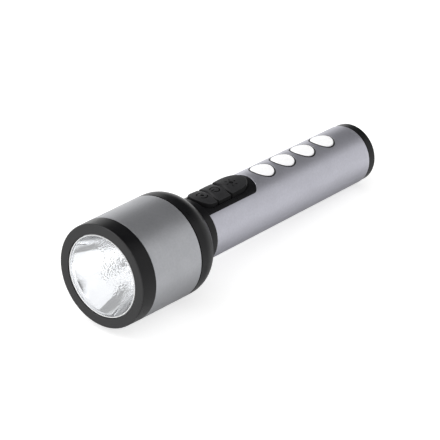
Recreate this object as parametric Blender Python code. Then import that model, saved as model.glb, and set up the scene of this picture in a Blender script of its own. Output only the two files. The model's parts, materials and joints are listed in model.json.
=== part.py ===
"""Battery torch with a round head, three keys and four side lamps, lying on its side.

Every piece is made in the torch's own frame: X runs along the torch's axis from the bezel's front face (0)
to the tail, Z points up through the keys and the side lamps. One empty then tips the whole torch so that
the shoulder of the head and the rim of the tail cap both rest on the floor.
"""

import math

import bmesh
import bpy
from mathutils import Matrix, Vector

MM = 0.001

# Clearances
FIT = 0.3 * MM
KEY_SPLIT = 0.4 * MM

# Roundness
ROUND = 40
ROUND_INNER = 32
ROUND_SMALL = 24
ROUND_PIN = 16
EDGE_SHARE = 1 - math.cos(math.radians(45.0))

# The head's outside: bezel and sleeve meet at one radius, and taper and flare away from there
HEAD_RADIUS = 25.2 * MM
BEZEL_TAPER = 0.2 * MM
HEAD_FLARE = 0.3 * MM

# Bezel
BEZEL_LENGTH = 8.46 * MM
BEZEL_WALL = 1.9 * MM
BEZEL_EDGE = 0.7 * MM
LIP_WIDTH = 3.2 * MM
LIP_THICKNESS = 1.1 * MM
LIP_CHAMFER = 0.35 * MM

# Front lens, its gasket and the reflector
LENS_THICKNESS = 1.6 * MM
LENS_CHAMFER = 0.25 * MM
LENS_BOSS_HEIGHT = 1.05 * MM
GASKET_THICKNESS = 0.8 * MM
GASKET_WIDTH = 1.6 * MM
REFLECTOR_FLANGE_WIDTH = 2.6 * MM
REFLECTOR_DEPTH = 25.0 * MM
REFLECTOR_THROAT_RADIUS = 3.1 * MM
REFLECTOR_WALL = 1.2 * MM
REFLECTOR_FLANGE_THICKNESS = 1.2 * MM
REFLECTOR_COLLAR_HEIGHT = 1.1 * MM
REFLECTOR_STEPS = 7

# Light source behind the reflector
LED_BASE_SIZE = 5.0 * MM
LED_BASE_THICKNESS = 0.8 * MM
LED_DOME_RADIUS = 2.3 * MM
LED_DOME_STEPS = 5
LED_BOARD_RADIUS = 9.5 * MM
LED_BOARD_THICKNESS = 1.6 * MM
HEAT_SINK_RADIUS = 14.0 * MM
HEAT_SINK_THICKNESS = 3.0 * MM
HEAT_SINK_BORE = 2.5 * MM
BOARD_SCREW_OFFSET = 7.0 * MM
BOARD_SCREW_HEAD_RADIUS = 1.5 * MM
BOARD_SCREW_HEAD_HEIGHT = 1.0 * MM
BOARD_SCREW_RADIUS = 0.8 * MM
BOARD_SCREW_LENGTH = 4.0 * MM

# Head sleeve and head housing
HEAD_SLEEVE_WALL = 0.9 * MM
HEAD_SLEEVE_LENGTH = 31.4 * MM
HOUSING_WALL = 1.4 * MM
BULKHEAD_THICKNESS = 2.4 * MM
BULKHEAD_HOLE_RADIUS = 3.0 * MM
SHOULDER_EDGE = 0.4 * MM
SHOULDER_FLAT = 4.0 * MM
SHOULDER_SWEEP = math.radians(74.615)
SHOULDER_STEPS = 8

# Handle sleeve with the notch for the keys and the holes for the lamps
HANDLE_SLEEVE_WALL = 0.7 * MM
NOTCH_SIDE_MARGIN = 2.55 * MM
NOTCH_END_MARGIN = 3.17 * MM
NOTCH_END_LENGTH = 6.4 * MM
NOTCH_END_STEPS = 12

# Neck and handle core
NECK_RISE = 0.6 * MM
NECK_LENGTH = 7.05 * MM
NECK_CHAMFER = 0.4 * MM
NECK_WALL = 3.6 * MM
SPIGOT_STEP = 3.2 * MM
SPIGOT_WALL = 2.0 * MM
SPIGOT_LENGTH = 14.0 * MM
CORE_WALL = 1.7 * MM
CORE_END_WALL = 0.9 * MM
CORE_END_RECESS = 0.35 * MM
TONGUE_DROP = 0.2 * MM
TONGUE_ROOT = 0.8 * MM

# Keys
KEY_RISE = 1.1 * MM
KEY_REAR_EXTRA_RISE = 0.3 * MM
KEY_CROWN = 0.3 * MM
KEY_SHOULDER_RISE = 0.8 * MM
KEY_THICKNESS = 5.1 * MM
KEY_HALF_WIDTH = 7.25 * MM
KEY_TOP_INSET = 0.2 * MM
KEY_TAIL_INSET = 0.7 * MM
KEY_SPLIT_INSET = 0.35 * MM
KEY_NOSE_OVERLAP = 0.0 * MM
KEY_NOSE_LENGTH = 6.0 * MM
KEY_TAIL_LENGTH = 11.0 * MM
KEY_FRONT_LENGTH = 11.23 * MM
KEY_MIDDLE_LENGTH = 10.05 * MM
KEY_REAR_LENGTH = 16.6 * MM
KEY_TRAVEL = 0.6 * MM
KEY_NUB_RADIUS = 2.0 * MM
KEY_END_ANGLE = math.radians(12.0)
KEY_ROWS = 6

# Keypad mat, switch board and tact switches
MAT_THICKNESS = 0.7 * MM
MAT_INSET = 0.8 * MM
SWITCH_BOARD_LEAD = 0.6 * MM
SWITCH_BOARD_TRAIL = 4.5 * MM
WIRE_BAY_LENGTH = 14.72 * MM
BOARD_THICKNESS = 1.2 * MM
SWITCH_SIZE = 6.0 * MM
SWITCH_HEIGHT = 2.8 * MM
PLUNGER_RADIUS = 1.7 * MM
PLUNGER_LENGTH = 1.6 * MM
PLUNGER_PROUD = 0.8 * MM

# Side lamps
LAMP_COUNT = 4
LAMP_FIRST_GAP = 11.75 * MM
LAMP_PITCH = 16.4 * MM
LAMP_HOLE_RADIUS = 7.0 * MM
LAMP_LIP_WALL = 0.4 * MM
LAMP_LIP_PROUD = 0.15 * MM
LAMP_LENS_PROUD = 0.25 * MM
LAMP_LENS_DEPTH = 4.2 * MM
LAMP_BOARD_THICKNESS = 0.8 * MM
LAMP_BOARD_MARGIN = 7.0 * MM
LAMP_LED_SIZE = 3.5 * MM
LAMP_LED_HEIGHT = 0.8 * MM
LAMP_LED_GAP = 0.4 * MM

# Battery carrier with three cells
CELL_RADIUS = 5.25 * MM
CELL_LENGTH = 43.5 * MM
CELL_NUB_RADIUS = 1.9 * MM
CELL_NUB_LENGTH = 0.8 * MM
CELL_GAP = 0.2 * MM
CARRIER_PLATE_THICKNESS = 2.0 * MM
CARRIER_FLOOR = 0.8 * MM
CARRIER_DROP = 0.372 * MM
CARRIER_ROD_RADIUS = 1.7 * MM
CARRIER_TOP_ROD_RADIUS = 1.1 * MM
CARRIER_ROD_OFFSET = 10.5 * MM
CARRIER_ROD_ANGLE = math.radians(30.0)
CARRIER_TOP_ROD_DROP = 1.7 * MM
LINK_THICKNESS = 0.4 * MM
LINK_RADIUS = 2.9 * MM
LINK_END_STEPS = 6
CONTACT_PAD_RADIUS = 4.4 * MM
CONTACT_BOARD_THICKNESS = 1.6 * MM

# Springs
FRONT_SPRING_RADIUS = 3.0 * MM
FRONT_SPRING_WIRE = 0.35 * MM
FRONT_SPRING_LENGTH = 5.6 * MM
FRONT_SPRING_TURNS = 3.5
TAIL_SPRING_SMALL_RADIUS = 3.2 * MM
TAIL_SPRING_LARGE_RADIUS = 5.6 * MM
TAIL_SPRING_WIRE = 0.45 * MM
TAIL_SPRING_TURNS = 5.0
SPRING_POINTS_PER_TURN = 9
SPRING_BEVEL = 1

# Tail cap
TAIL_STEP = 0.25 * MM
TAIL_RIM_LENGTH = 5.2 * MM
TAIL_EDGE = 0.5 * MM
TAIL_GROOVE_DEPTH = 0.5 * MM
TAIL_GROOVE_LENGTH = 0.4 * MM
TAIL_FLOOR = 2.0 * MM
TAIL_SPIGOT_WALL = 2.15 * MM
TAIL_SPIGOT_LENGTH = 8.4 * MM
SEAL_RADIUS = 0.5 * MM
SEAL_SIDES = 6
SEAL_BACK_OFFSET = 1.3 * MM
WASHER_THICKNESS = 0.4 * MM
WASHER_RADIUS = 7.0 * MM
WASHER_BORE = 2.5 * MM

# Tail thread
THREAD_PITCH = 2.0 * MM
THREAD_TURNS = 2.0
THREAD_BASE = 0.9 * MM
THREAD_CREST = 0.4 * MM
THREAD_HEIGHT = 0.75 * MM
THREAD_ROOT = 0.25 * MM
THREAD_CLEARANCE = 0.4 * MM
THREAD_STEPS = 20

# Wires
WIRE_RADIUS = 0.55 * MM
WIRE_POINTS = 9
WIRE_BEVEL = 2
LED_WIRE_SPREAD = 1.0 * MM
BATTERY_WIRE_SPREAD = 2.5 * MM
LAMP_WIRE_SPREAD = 5.0 * MM

# Radii of the head, each worked out from its neighbours
BEZEL_FRONT_RADIUS = HEAD_RADIUS - BEZEL_TAPER
BEZEL_BORE = HEAD_RADIUS - BEZEL_WALL
LIP_RADIUS = BEZEL_BORE - LIP_WIDTH
LENS_RADIUS = BEZEL_BORE - FIT
LENS_BOSS_RADIUS = LIP_RADIUS - FIT
REFLECTOR_MOUTH_RADIUS = LENS_RADIUS - REFLECTOR_FLANGE_WIDTH
REFLECTOR_COLLAR_RADIUS = LENS_RADIUS - GASKET_WIDTH - FIT
HEAD_SLEEVE_BACK_RADIUS = HEAD_RADIUS + HEAD_FLARE
HEAD_SLEEVE_BORE = HEAD_RADIUS - HEAD_SLEEVE_WALL
HOUSING_SPIGOT_RADIUS = BEZEL_BORE - FIT
HEAD_CAVITY_RADIUS = HOUSING_SPIGOT_RADIUS - HOUSING_WALL

# Radii of the handle, worked out from three cells side by side inside it
CELL_SPACING = 2 * CELL_RADIUS + CELL_GAP
CELL_RING_RADIUS = CELL_SPACING / math.sqrt(3.0)
INSIDE_RADIUS = CELL_RING_RADIUS + CELL_RADIUS + CARRIER_FLOOR + CARRIER_DROP
CORE_BORE = INSIDE_RADIUS + FIT
CORE_RADIUS = CORE_BORE + CORE_WALL
HANDLE_SLEEVE_BORE = CORE_RADIUS + FIT
HANDLE_RADIUS = HANDLE_SLEEVE_BORE + HANDLE_SLEEVE_WALL
NECK_RADIUS = HANDLE_RADIUS + NECK_RISE
SPIGOT_RADIUS = NECK_RADIUS - SPIGOT_STEP
SPIGOT_BORE = SPIGOT_RADIUS - SPIGOT_WALL
TONGUE_RADIUS = HANDLE_RADIUS - TONGUE_DROP
TAIL_RADIUS = HANDLE_RADIUS - TAIL_STEP
TAIL_THREAD_BORE = CORE_RADIUS - CORE_END_WALL
TAIL_SPIGOT_RADIUS = TAIL_THREAD_BORE - THREAD_HEIGHT - THREAD_CLEARANCE
TAIL_SPIGOT_BORE = TAIL_SPIGOT_RADIUS - TAIL_SPIGOT_WALL
KEY_TOP_RADIUS = HANDLE_RADIUS + KEY_RISE
KEY_SHOULDER_RADIUS = TONGUE_RADIUS + KEY_SHOULDER_RISE
NOTCH_HALF_WIDTH = KEY_HALF_WIDTH + NOTCH_SIDE_MARGIN

# Places along the axis
LENS_X = LIP_THICKNESS + FIT
GASKET_X = LENS_X + LENS_THICKNESS + FIT
REFLECTOR_X = GASKET_X + GASKET_THICKNESS + FIT
HOUSING_X = REFLECTOR_X + REFLECTOR_FLANGE_THICKNESS + FIT
HEAD_SLEEVE_X = BEZEL_LENGTH + FIT
HEAD_SLEEVE_END = HEAD_SLEEVE_X + HEAD_SLEEVE_LENGTH
SHOULDER_X = HEAD_SLEEVE_END + FIT
LED_BASE_X = REFLECTOR_X + REFLECTOR_DEPTH + FIT
LED_BOARD_X = LED_BASE_X + LED_BASE_THICKNESS + FIT
HEAT_SINK_X = LED_BOARD_X + LED_BOARD_THICKNESS + FIT
BULKHEAD_X = HEAT_SINK_X + HEAT_SINK_THICKNESS + FIT
SHOULDER_REST_X = SHOULDER_X + SHOULDER_FLAT
SHOULDER_DROP = HEAD_SLEEVE_BACK_RADIUS - NECK_RADIUS - FIT
SHOULDER_ROUND = SHOULDER_DROP / (1 - math.cos(SHOULDER_SWEEP))
HOUSING_END = SHOULDER_REST_X + SHOULDER_ROUND * math.sin(SHOULDER_SWEEP)
NECK_X = HOUSING_END + FIT
NECK_END = NECK_X + NECK_LENGTH
KEY_NOSE_X = NECK_END - KEY_NOSE_OVERLAP
KEY_FRONT_END = KEY_NOSE_X + KEY_FRONT_LENGTH
KEY_MIDDLE_END = KEY_FRONT_END + KEY_MIDDLE_LENGTH
KEY_TAIL_X = KEY_MIDDLE_END + KEY_REAR_LENGTH
NOTCH_END = KEY_TAIL_X + NOTCH_END_MARGIN
SWITCH_BOARD_X = KEY_NOSE_X - SWITCH_BOARD_LEAD
SWITCH_BOARD_END = KEY_TAIL_X + SWITCH_BOARD_TRAIL
CONTACT_BOARD_X = SWITCH_BOARD_END + WIRE_BAY_LENGTH
FRONT_SPRING_X = CONTACT_BOARD_X + CONTACT_BOARD_THICKNESS + FIT
CARRIER_CONTACT_X = FRONT_SPRING_X + FRONT_SPRING_LENGTH + FIT
CARRIER_FRONT_X = CARRIER_CONTACT_X + LINK_THICKNESS + FIT
LINK_FRONT_X = CARRIER_FRONT_X + CARRIER_PLATE_THICKNESS + FIT
CELL_X = LINK_FRONT_X + LINK_THICKNESS + FIT
LINK_REAR_X = CELL_X + CELL_LENGTH + CELL_NUB_LENGTH + FIT
CARRIER_REAR_X = LINK_REAR_X + LINK_THICKNESS + FIT
TAIL_SPIGOT_X = CARRIER_REAR_X + CARRIER_PLATE_THICKNESS + FIT
TAIL_CAP_X = TAIL_SPIGOT_X + TAIL_SPIGOT_LENGTH
TAIL_END = TAIL_CAP_X + TAIL_RIM_LENGTH
SEAL_X = TAIL_CAP_X - SEAL_BACK_OFFSET
TAIL_FLOOR_X = TAIL_END - TAIL_FLOOR
WASHER_X = TAIL_FLOOR_X - FIT - WASHER_THICKNESS
THREAD_START_X = TAIL_SPIGOT_X + THREAD_BASE
HANDLE_SLEEVE_X = NECK_END + FIT
HANDLE_SLEEVE_END = TAIL_CAP_X - FIT
HANDLE_SLEEVE_LENGTH = HANDLE_SLEEVE_END - HANDLE_SLEEVE_X
CORE_END = HANDLE_SLEEVE_END - CORE_END_RECESS
LAMP_FIRST_X = NOTCH_END + LAMP_FIRST_GAP
LAMP_LAST_X = LAMP_FIRST_X + LAMP_PITCH * (LAMP_COUNT - 1)
LAMP_BOARD_X = LAMP_FIRST_X - LAMP_BOARD_MARGIN
LAMP_BOARD_END = LAMP_LAST_X + LAMP_BOARD_MARGIN

# Heights above the axis
KEY_UNDERSIDE = KEY_TOP_RADIUS - KEY_THICKNESS
MAT_TOP = KEY_UNDERSIDE - KEY_TRAVEL - FIT
MAT_BOTTOM = MAT_TOP - MAT_THICKNESS
KEY_NUB_BOTTOM = MAT_BOTTOM - FIT
PLUNGER_TOP = KEY_NUB_BOTTOM - FIT
SWITCH_TOP = PLUNGER_TOP - PLUNGER_PROUD
SWITCH_BOTTOM = SWITCH_TOP - SWITCH_HEIGHT
SWITCH_BOARD_TOP = SWITCH_BOTTOM - FIT
SWITCH_BOARD_MIDDLE = SWITCH_BOARD_TOP - BOARD_THICKNESS / 2
LAMP_LIP_RADIUS = LAMP_HOLE_RADIUS - FIT
LAMP_LIP_BORE = LAMP_LIP_RADIUS - LAMP_LIP_WALL
LAMP_LENS_RADIUS = LAMP_LIP_BORE - FIT
LAMP_LENS_TOP_RADIUS = HANDLE_RADIUS + LAMP_LENS_PROUD
LAMP_LENS_BOTTOM_Z = HANDLE_RADIUS - LAMP_LENS_DEPTH
LAMP_LED_Z = LAMP_LENS_BOTTOM_Z - LAMP_LED_GAP - LAMP_LED_HEIGHT
LAMP_BOARD_TOP = LAMP_LED_Z - FIT
LAMP_BOARD_Z = LAMP_BOARD_TOP - LAMP_BOARD_THICKNESS
CARRIER_TOP_Z = LAMP_BOARD_Z - FIT
CELL_LOW_Z = -INSIDE_RADIUS + CARRIER_FLOOR + CELL_RADIUS
CELL_HIGH_Z = CELL_LOW_Z + CELL_SPACING * math.sin(math.radians(60.0))
CELL_CENTRE_Z = (CELL_LOW_Z + 2 * CELL_HIGH_Z) / 3

# The rest position on the floor
FACET_SHARE = math.cos(math.pi / ROUND)
REST_RISE = (HEAD_SLEEVE_BACK_RADIUS - TAIL_RADIUS) * FACET_SHARE
TILT = math.asin(REST_RISE / (TAIL_END - TAIL_EDGE - SHOULDER_REST_X))


def clear_scene():
    for item in list(bpy.data.objects):
        bpy.data.objects.remove(item, do_unlink=True)


def finish(name, colour, roughness, metallic=0.0, alpha=1.0):
    """One Principled material, shared by all the pieces that name it."""
    material = bpy.data.materials.get(name)
    if material is None:
        material = bpy.data.materials.new(name)
        material.use_nodes = True
        shader = material.node_tree.nodes["Principled BSDF"]
        shader.inputs["Base Color"].default_value = (*colour, 1.0)
        shader.inputs["Roughness"].default_value = roughness
        shader.inputs["Metallic"].default_value = metallic
        shader.inputs["Alpha"].default_value = alpha
    return material


def black_plastic():
    return finish("black_plastic", (0.025, 0.026, 0.028), 0.42)


def black_rubber():
    return finish("black_rubber", (0.02, 0.02, 0.022), 0.65)


def grey_aluminium():
    return finish("grey_aluminium", (0.42, 0.43, 0.45), 0.38, 0.85)


def bare_aluminium():
    return finish("bare_aluminium", (0.62, 0.62, 0.63), 0.35, 1.0)


def bright_chrome():
    return finish("bright_chrome", (0.86, 0.87, 0.88), 0.08, 1.0)


def clear_plastic():
    return finish("clear_plastic", (0.95, 0.96, 0.97), 0.05, 0.0, 0.25)


def diffuser_plastic():
    return finish("diffuser_plastic", (0.93, 0.94, 0.95), 0.3)


def circuit_board():
    return finish("circuit_board", (0.03, 0.18, 0.08), 0.45)


def led_yellow():
    return finish("led_yellow", (0.85, 0.75, 0.25), 0.3)


def spring_steel():
    return finish("spring_steel", (0.6, 0.6, 0.6), 0.25, 1.0)


def brass():
    return finish("brass", (0.75, 0.6, 0.3), 0.3, 1.0)


def wire_red():
    return finish("wire_red", (0.6, 0.03, 0.03), 0.5)


def wire_black():
    return finish("wire_black", (0.02, 0.02, 0.02), 0.5)


def cell_wrap():
    return finish("cell_wrap", (0.12, 0.2, 0.3), 0.35)


def torch_frame():
    """The empty that carries every piece; its X axis is the torch's axis."""
    frame = bpy.data.objects.new("torch_axis", None)
    bpy.context.scene.collection.objects.link(frame)
    return frame


def add_object(name, data, frame, location=(0.0, 0.0, 0.0), material=None):
    item = bpy.data.objects.new(name, data)
    bpy.context.scene.collection.objects.link(item)
    item.parent = frame
    item.location = location
    if material is not None:
        data.materials.append(material)
    return item


def mesh_from(bm, name, sharp_angle=35.0):
    """Turn a bmesh into a smooth-shaded mesh that keeps its hard edges."""
    bmesh.ops.recalc_face_normals(bm, faces=bm.faces)
    mesh = bpy.data.meshes.new(name)
    bm.to_mesh(mesh)
    bm.free()
    mesh.shade_smooth()
    mesh.set_sharp_from_angle(angle=math.radians(sharp_angle))
    return mesh


def turned(name, frame, start, profile, material, segments=ROUND):
    """A piece turned round the torch's axis from a closed profile of (x, radius) points.

    The profile starts to turn half a facet off, so that a flat facet faces straight down.
    """
    bm = bmesh.new()
    half_facet = Matrix.Rotation(math.pi / segments, 4, "X")
    verts = [bm.verts.new(half_facet @ Vector((x, 0.0, radius))) for x, radius in profile]
    edges = [bm.edges.new((verts[i - 1], verts[i])) for i in range(len(verts))]
    axis_edges = [e for e in edges if all(v.co.yz.length < 1e-9 for v in e.verts)]
    for edge in axis_edges:
        bm.edges.remove(edge)
    bmesh.ops.spin(bm, geom=bm.verts[:] + bm.edges[:], cent=(0, 0, 0), axis=(1, 0, 0),
                   angle=2 * math.pi, steps=segments, use_merge=True)
    bmesh.ops.remove_doubles(bm, verts=bm.verts, dist=1e-6)
    return add_object(name, mesh_from(bm, name), frame, (start, 0.0, 0.0), material)


def upright(name, frame, centre, profile, material, segments=ROUND_SMALL):
    """A piece turned round a vertical axis through centre, from (height, radius) points."""
    piece = turned(name, frame, 0.0, profile, material, segments)
    piece.data.transform(Matrix.Rotation(-math.pi / 2, 4, "Y"))
    piece.location = centre
    return piece


def prism(name, frame, outline, bottom, top, material=None, origin=(0.0, 0.0, 0.0)):
    """A plate or block: a closed outline of (x, y) points pulled up from bottom to top."""
    bm = bmesh.new()
    low = [bm.verts.new((x - origin[0], y - origin[1], bottom - origin[2])) for x, y in outline]
    face = bm.faces.new(low)
    raised = bmesh.ops.extrude_face_region(bm, geom=[face])
    lifted = [v for v in raised["geom"] if isinstance(v, bmesh.types.BMVert)]
    bmesh.ops.translate(bm, verts=lifted, vec=(0.0, 0.0, top - bottom))
    return add_object(name, mesh_from(bm, name), frame, origin, material)


def cross_plate(name, frame, start, outline, thickness, material):
    """A plate that stands across the axis: a closed outline of (y, z) points, thickness along X."""
    bm = bmesh.new()
    face = bm.faces.new([bm.verts.new((0.0, y, z)) for y, z in outline])
    pulled = bmesh.ops.extrude_face_region(bm, geom=[face])
    moved = [v for v in pulled["geom"] if isinstance(v, bmesh.types.BMVert)]
    bmesh.ops.translate(bm, verts=moved, vec=(thickness, 0.0, 0.0))
    return add_object(name, mesh_from(bm, name), frame, (start, 0.0, 0.0), material)


def rectangle(x0, x1, half_width):
    return [(x0, -half_width), (x1, -half_width), (x1, half_width), (x0, half_width)]


def clipped_disc(radius, top, steps=ROUND_SMALL):
    """A round plate with its top cut off flat, as (y, z) points."""
    side = math.sqrt(radius * radius - top * top)
    start = math.atan2(side, top)
    sweep = 2 * (math.pi - start)
    angles = [start + sweep * i / steps for i in range(steps + 1)]
    return [(radius * math.sin(a), radius * math.cos(a)) for a in angles]


def as_cutter(item):
    item.hide_render = True
    item.display_type = "WIRE"
    return item


def combine(target, other, operation):
    """Leave an exact Boolean on the target; the other piece becomes a hidden helper."""
    modifier = target.modifiers.new(operation.lower() + "_" + other.name, "BOOLEAN")
    modifier.operation = operation
    modifier.solver = "EXACT"
    modifier.object = as_cutter(other)


def wire(name, frame, points, radius, material, resolution=WIRE_BEVEL):
    """A round wire through the points, with closed ends."""
    curve = bpy.data.curves.new(name, "CURVE")
    curve.dimensions = "3D"
    curve.bevel_depth = radius
    curve.bevel_resolution = resolution
    curve.use_fill_caps = True
    spline = curve.splines.new("POLY")
    spline.points.add(len(points) - 1)
    for place, point in zip(spline.points, points):
        place.co = (*point, 1.0)
    return add_object(name, curve, frame, (0.0, 0.0, 0.0), material)


def half_width_at_key(x, grow=0.0):
    """Half the width of the whole key pad at x, with its rounded nose and tail."""
    nose_centre = KEY_NOSE_X + KEY_NOSE_LENGTH
    tail_centre = KEY_TAIL_X - KEY_TAIL_LENGTH
    width = KEY_HALF_WIDTH + grow
    share = 0.0
    if x < nose_centre:
        share = (nose_centre - x) / (KEY_NOSE_LENGTH + grow)
    elif x > tail_centre:
        share = (x - tail_centre) / (KEY_TAIL_LENGTH + grow)
    return width * math.sqrt(max(0.0, 1.0 - share * share))


def nose_stations(centre, length, count, direction):
    """Places along a rounded end, closer together where it curves most."""
    angles = [KEY_END_ANGLE + (math.pi / 2 - KEY_END_ANGLE) * i / (count - 1) for i in range(count)]
    return [centre + direction * length * math.cos(a) for a in angles]


def key_pad_outline(grow):
    """The outline of all three keys together, grown by a clearance, as (x, y) points."""
    nose = nose_stations(KEY_NOSE_X + KEY_NOSE_LENGTH, KEY_NOSE_LENGTH + grow, KEY_ROWS, -1)
    tail = nose_stations(KEY_TAIL_X - KEY_TAIL_LENGTH, KEY_TAIL_LENGTH + grow, KEY_ROWS, 1)
    stations = nose + tail[::-1]
    near = [(x, -half_width_at_key(x, grow)) for x in stations]
    far = [(x, half_width_at_key(x, grow)) for x in reversed(stations)]
    return near + far


def key_body(name, frame, stations, front_inset, back_inset, extra_rise):
    """One key: a block with upright sides, a sloped edge and a top that follows the tube and swells."""
    rows = KEY_ROWS
    centre = key_centre(stations[0], stations[-1])
    length = stations[-1] - stations[0]
    bm = bmesh.new()

    def level(side_inset, top_radius, height=None):
        points = []
        for x in stations:
            along = (x - stations[0]) / length
            inner_x = x + front_inset * (1 - along) * side_inset - back_inset * along * side_inset
            half = half_width_at_key(x) - KEY_TOP_INSET * side_inset
            radius = top_radius + KEY_CROWN * side_inset * (1 - (2 * along - 1) ** 2)
            row = []
            for i in range(rows):
                y = half * (2 * i / (rows - 1) - 1)
                z = height if height is not None else math.sqrt(radius ** 2 - y * y)
                row.append(bm.verts.new((inner_x - centre, y, z)))
            points.append(row)
        return points

    base = level(0.0, 0.0, KEY_UNDERSIDE)
    shoulder = level(0.0, KEY_SHOULDER_RADIUS)
    crown = level(1.0, KEY_TOP_RADIUS + extra_rise)

    def rim(grid):
        first = grid[0][:-1]
        far = [row[-1] for row in grid[:-1]]
        last = grid[-1][:0:-1]
        near = [row[0] for row in grid[:0:-1]]
        return first + far + last + near

    for lower, upper in ((base, shoulder), (shoulder, crown)):
        low_ring, high_ring = rim(lower), rim(upper)
        for i in range(len(low_ring)):
            bm.faces.new((low_ring[i - 1], low_ring[i], high_ring[i], high_ring[i - 1]))
    for grid in (base, crown):
        for front, back in zip(grid, grid[1:]):
            for i in range(rows - 1):
                bm.faces.new((front[i], front[i + 1], back[i + 1], back[i]))
    inner = [v for row in shoulder[1:-1] for v in row[1:-1]]
    bmesh.ops.delete(bm, geom=inner, context="VERTS")
    return add_object(name, mesh_from(bm, name), frame, (centre, 0.0, 0.0), black_rubber())


def key_spans():
    """Name, front end and back end of each key."""
    half_split = KEY_SPLIT / 2
    return [("front", KEY_NOSE_X, KEY_FRONT_END - half_split),
            ("middle", KEY_FRONT_END + half_split, KEY_MIDDLE_END - half_split),
            ("rear", KEY_MIDDLE_END + half_split, KEY_TAIL_X)]


def key_stations(name, start, end):
    if name == "front":
        nose = nose_stations(start + KEY_NOSE_LENGTH, KEY_NOSE_LENGTH, KEY_ROWS, -1)
        return nose + [end]
    if name == "rear":
        tail = nose_stations(end - KEY_TAIL_LENGTH, KEY_TAIL_LENGTH, KEY_ROWS, 1)
        return [start] + tail[::-1]
    return [start, (start + end) / 2, end]


def key_centre(start, end):
    """Where the nub, the switch and its plunger stand under a key."""
    return (start + end) / 2


def make_bezel(frame):
    edge_middle = BEZEL_EDGE * EDGE_SHARE
    profile = [
        (LIP_CHAMFER, LIP_RADIUS),
        (0.0, LIP_RADIUS + LIP_CHAMFER),
        (0.0, BEZEL_FRONT_RADIUS - BEZEL_EDGE),
        (edge_middle, BEZEL_FRONT_RADIUS - edge_middle),
        (BEZEL_EDGE, BEZEL_FRONT_RADIUS),
        (BEZEL_LENGTH, HEAD_RADIUS),
        (BEZEL_LENGTH, BEZEL_BORE),
        (LIP_THICKNESS, BEZEL_BORE),
        (LIP_THICKNESS, LIP_RADIUS),
    ]
    turned("bezel_ring", frame, 0.0, profile, black_plastic())


def make_front_lens(frame):
    profile = [
        (-LENS_BOSS_HEIGHT, 0.0),
        (-LENS_BOSS_HEIGHT, LENS_BOSS_RADIUS),
        (0.0, LENS_BOSS_RADIUS),
        (0.0, LENS_RADIUS - LENS_CHAMFER),
        (LENS_CHAMFER, LENS_RADIUS),
        (LENS_THICKNESS, LENS_RADIUS),
        (LENS_THICKNESS, 0.0),
    ]
    turned("front_lens", frame, LENS_X, profile, clear_plastic())
    outer = LENS_RADIUS
    inner = outer - GASKET_WIDTH
    gasket = [(0.0, inner), (0.0, outer), (GASKET_THICKNESS, outer), (GASKET_THICKNESS, inner)]
    turned("lens_gasket", frame, GASKET_X, gasket, black_rubber(), ROUND_INNER)


def reflector_radius(x):
    """The bowl is a paraboloid through its mouth and its throat."""
    slope = (REFLECTOR_MOUTH_RADIUS ** 2 - REFLECTOR_THROAT_RADIUS ** 2) / REFLECTOR_DEPTH
    return math.sqrt(REFLECTOR_MOUTH_RADIUS ** 2 - slope * x)


def make_reflector(frame):
    shares = [1 - (1 - i / REFLECTOR_STEPS) ** 2 for i in range(REFLECTOR_STEPS + 1)]
    places = [REFLECTOR_DEPTH * share for share in shares]
    inside = [(x, reflector_radius(x)) for x in places]
    outside = [(x, r + REFLECTOR_WALL) for x, r in reversed(inside) if x > REFLECTOR_FLANGE_THICKNESS]
    join = reflector_radius(REFLECTOR_FLANGE_THICKNESS) + REFLECTOR_WALL
    flange = [
        (REFLECTOR_FLANGE_THICKNESS, join),
        (REFLECTOR_FLANGE_THICKNESS, LENS_RADIUS),
        (0.0, LENS_RADIUS),
        (0.0, REFLECTOR_COLLAR_RADIUS),
        (-REFLECTOR_COLLAR_HEIGHT, REFLECTOR_COLLAR_RADIUS),
        (-REFLECTOR_COLLAR_HEIGHT, REFLECTOR_MOUTH_RADIUS),
    ]
    turned("reflector", frame, REFLECTOR_X, inside + outside + flange, bright_chrome(), ROUND_INNER)


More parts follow.
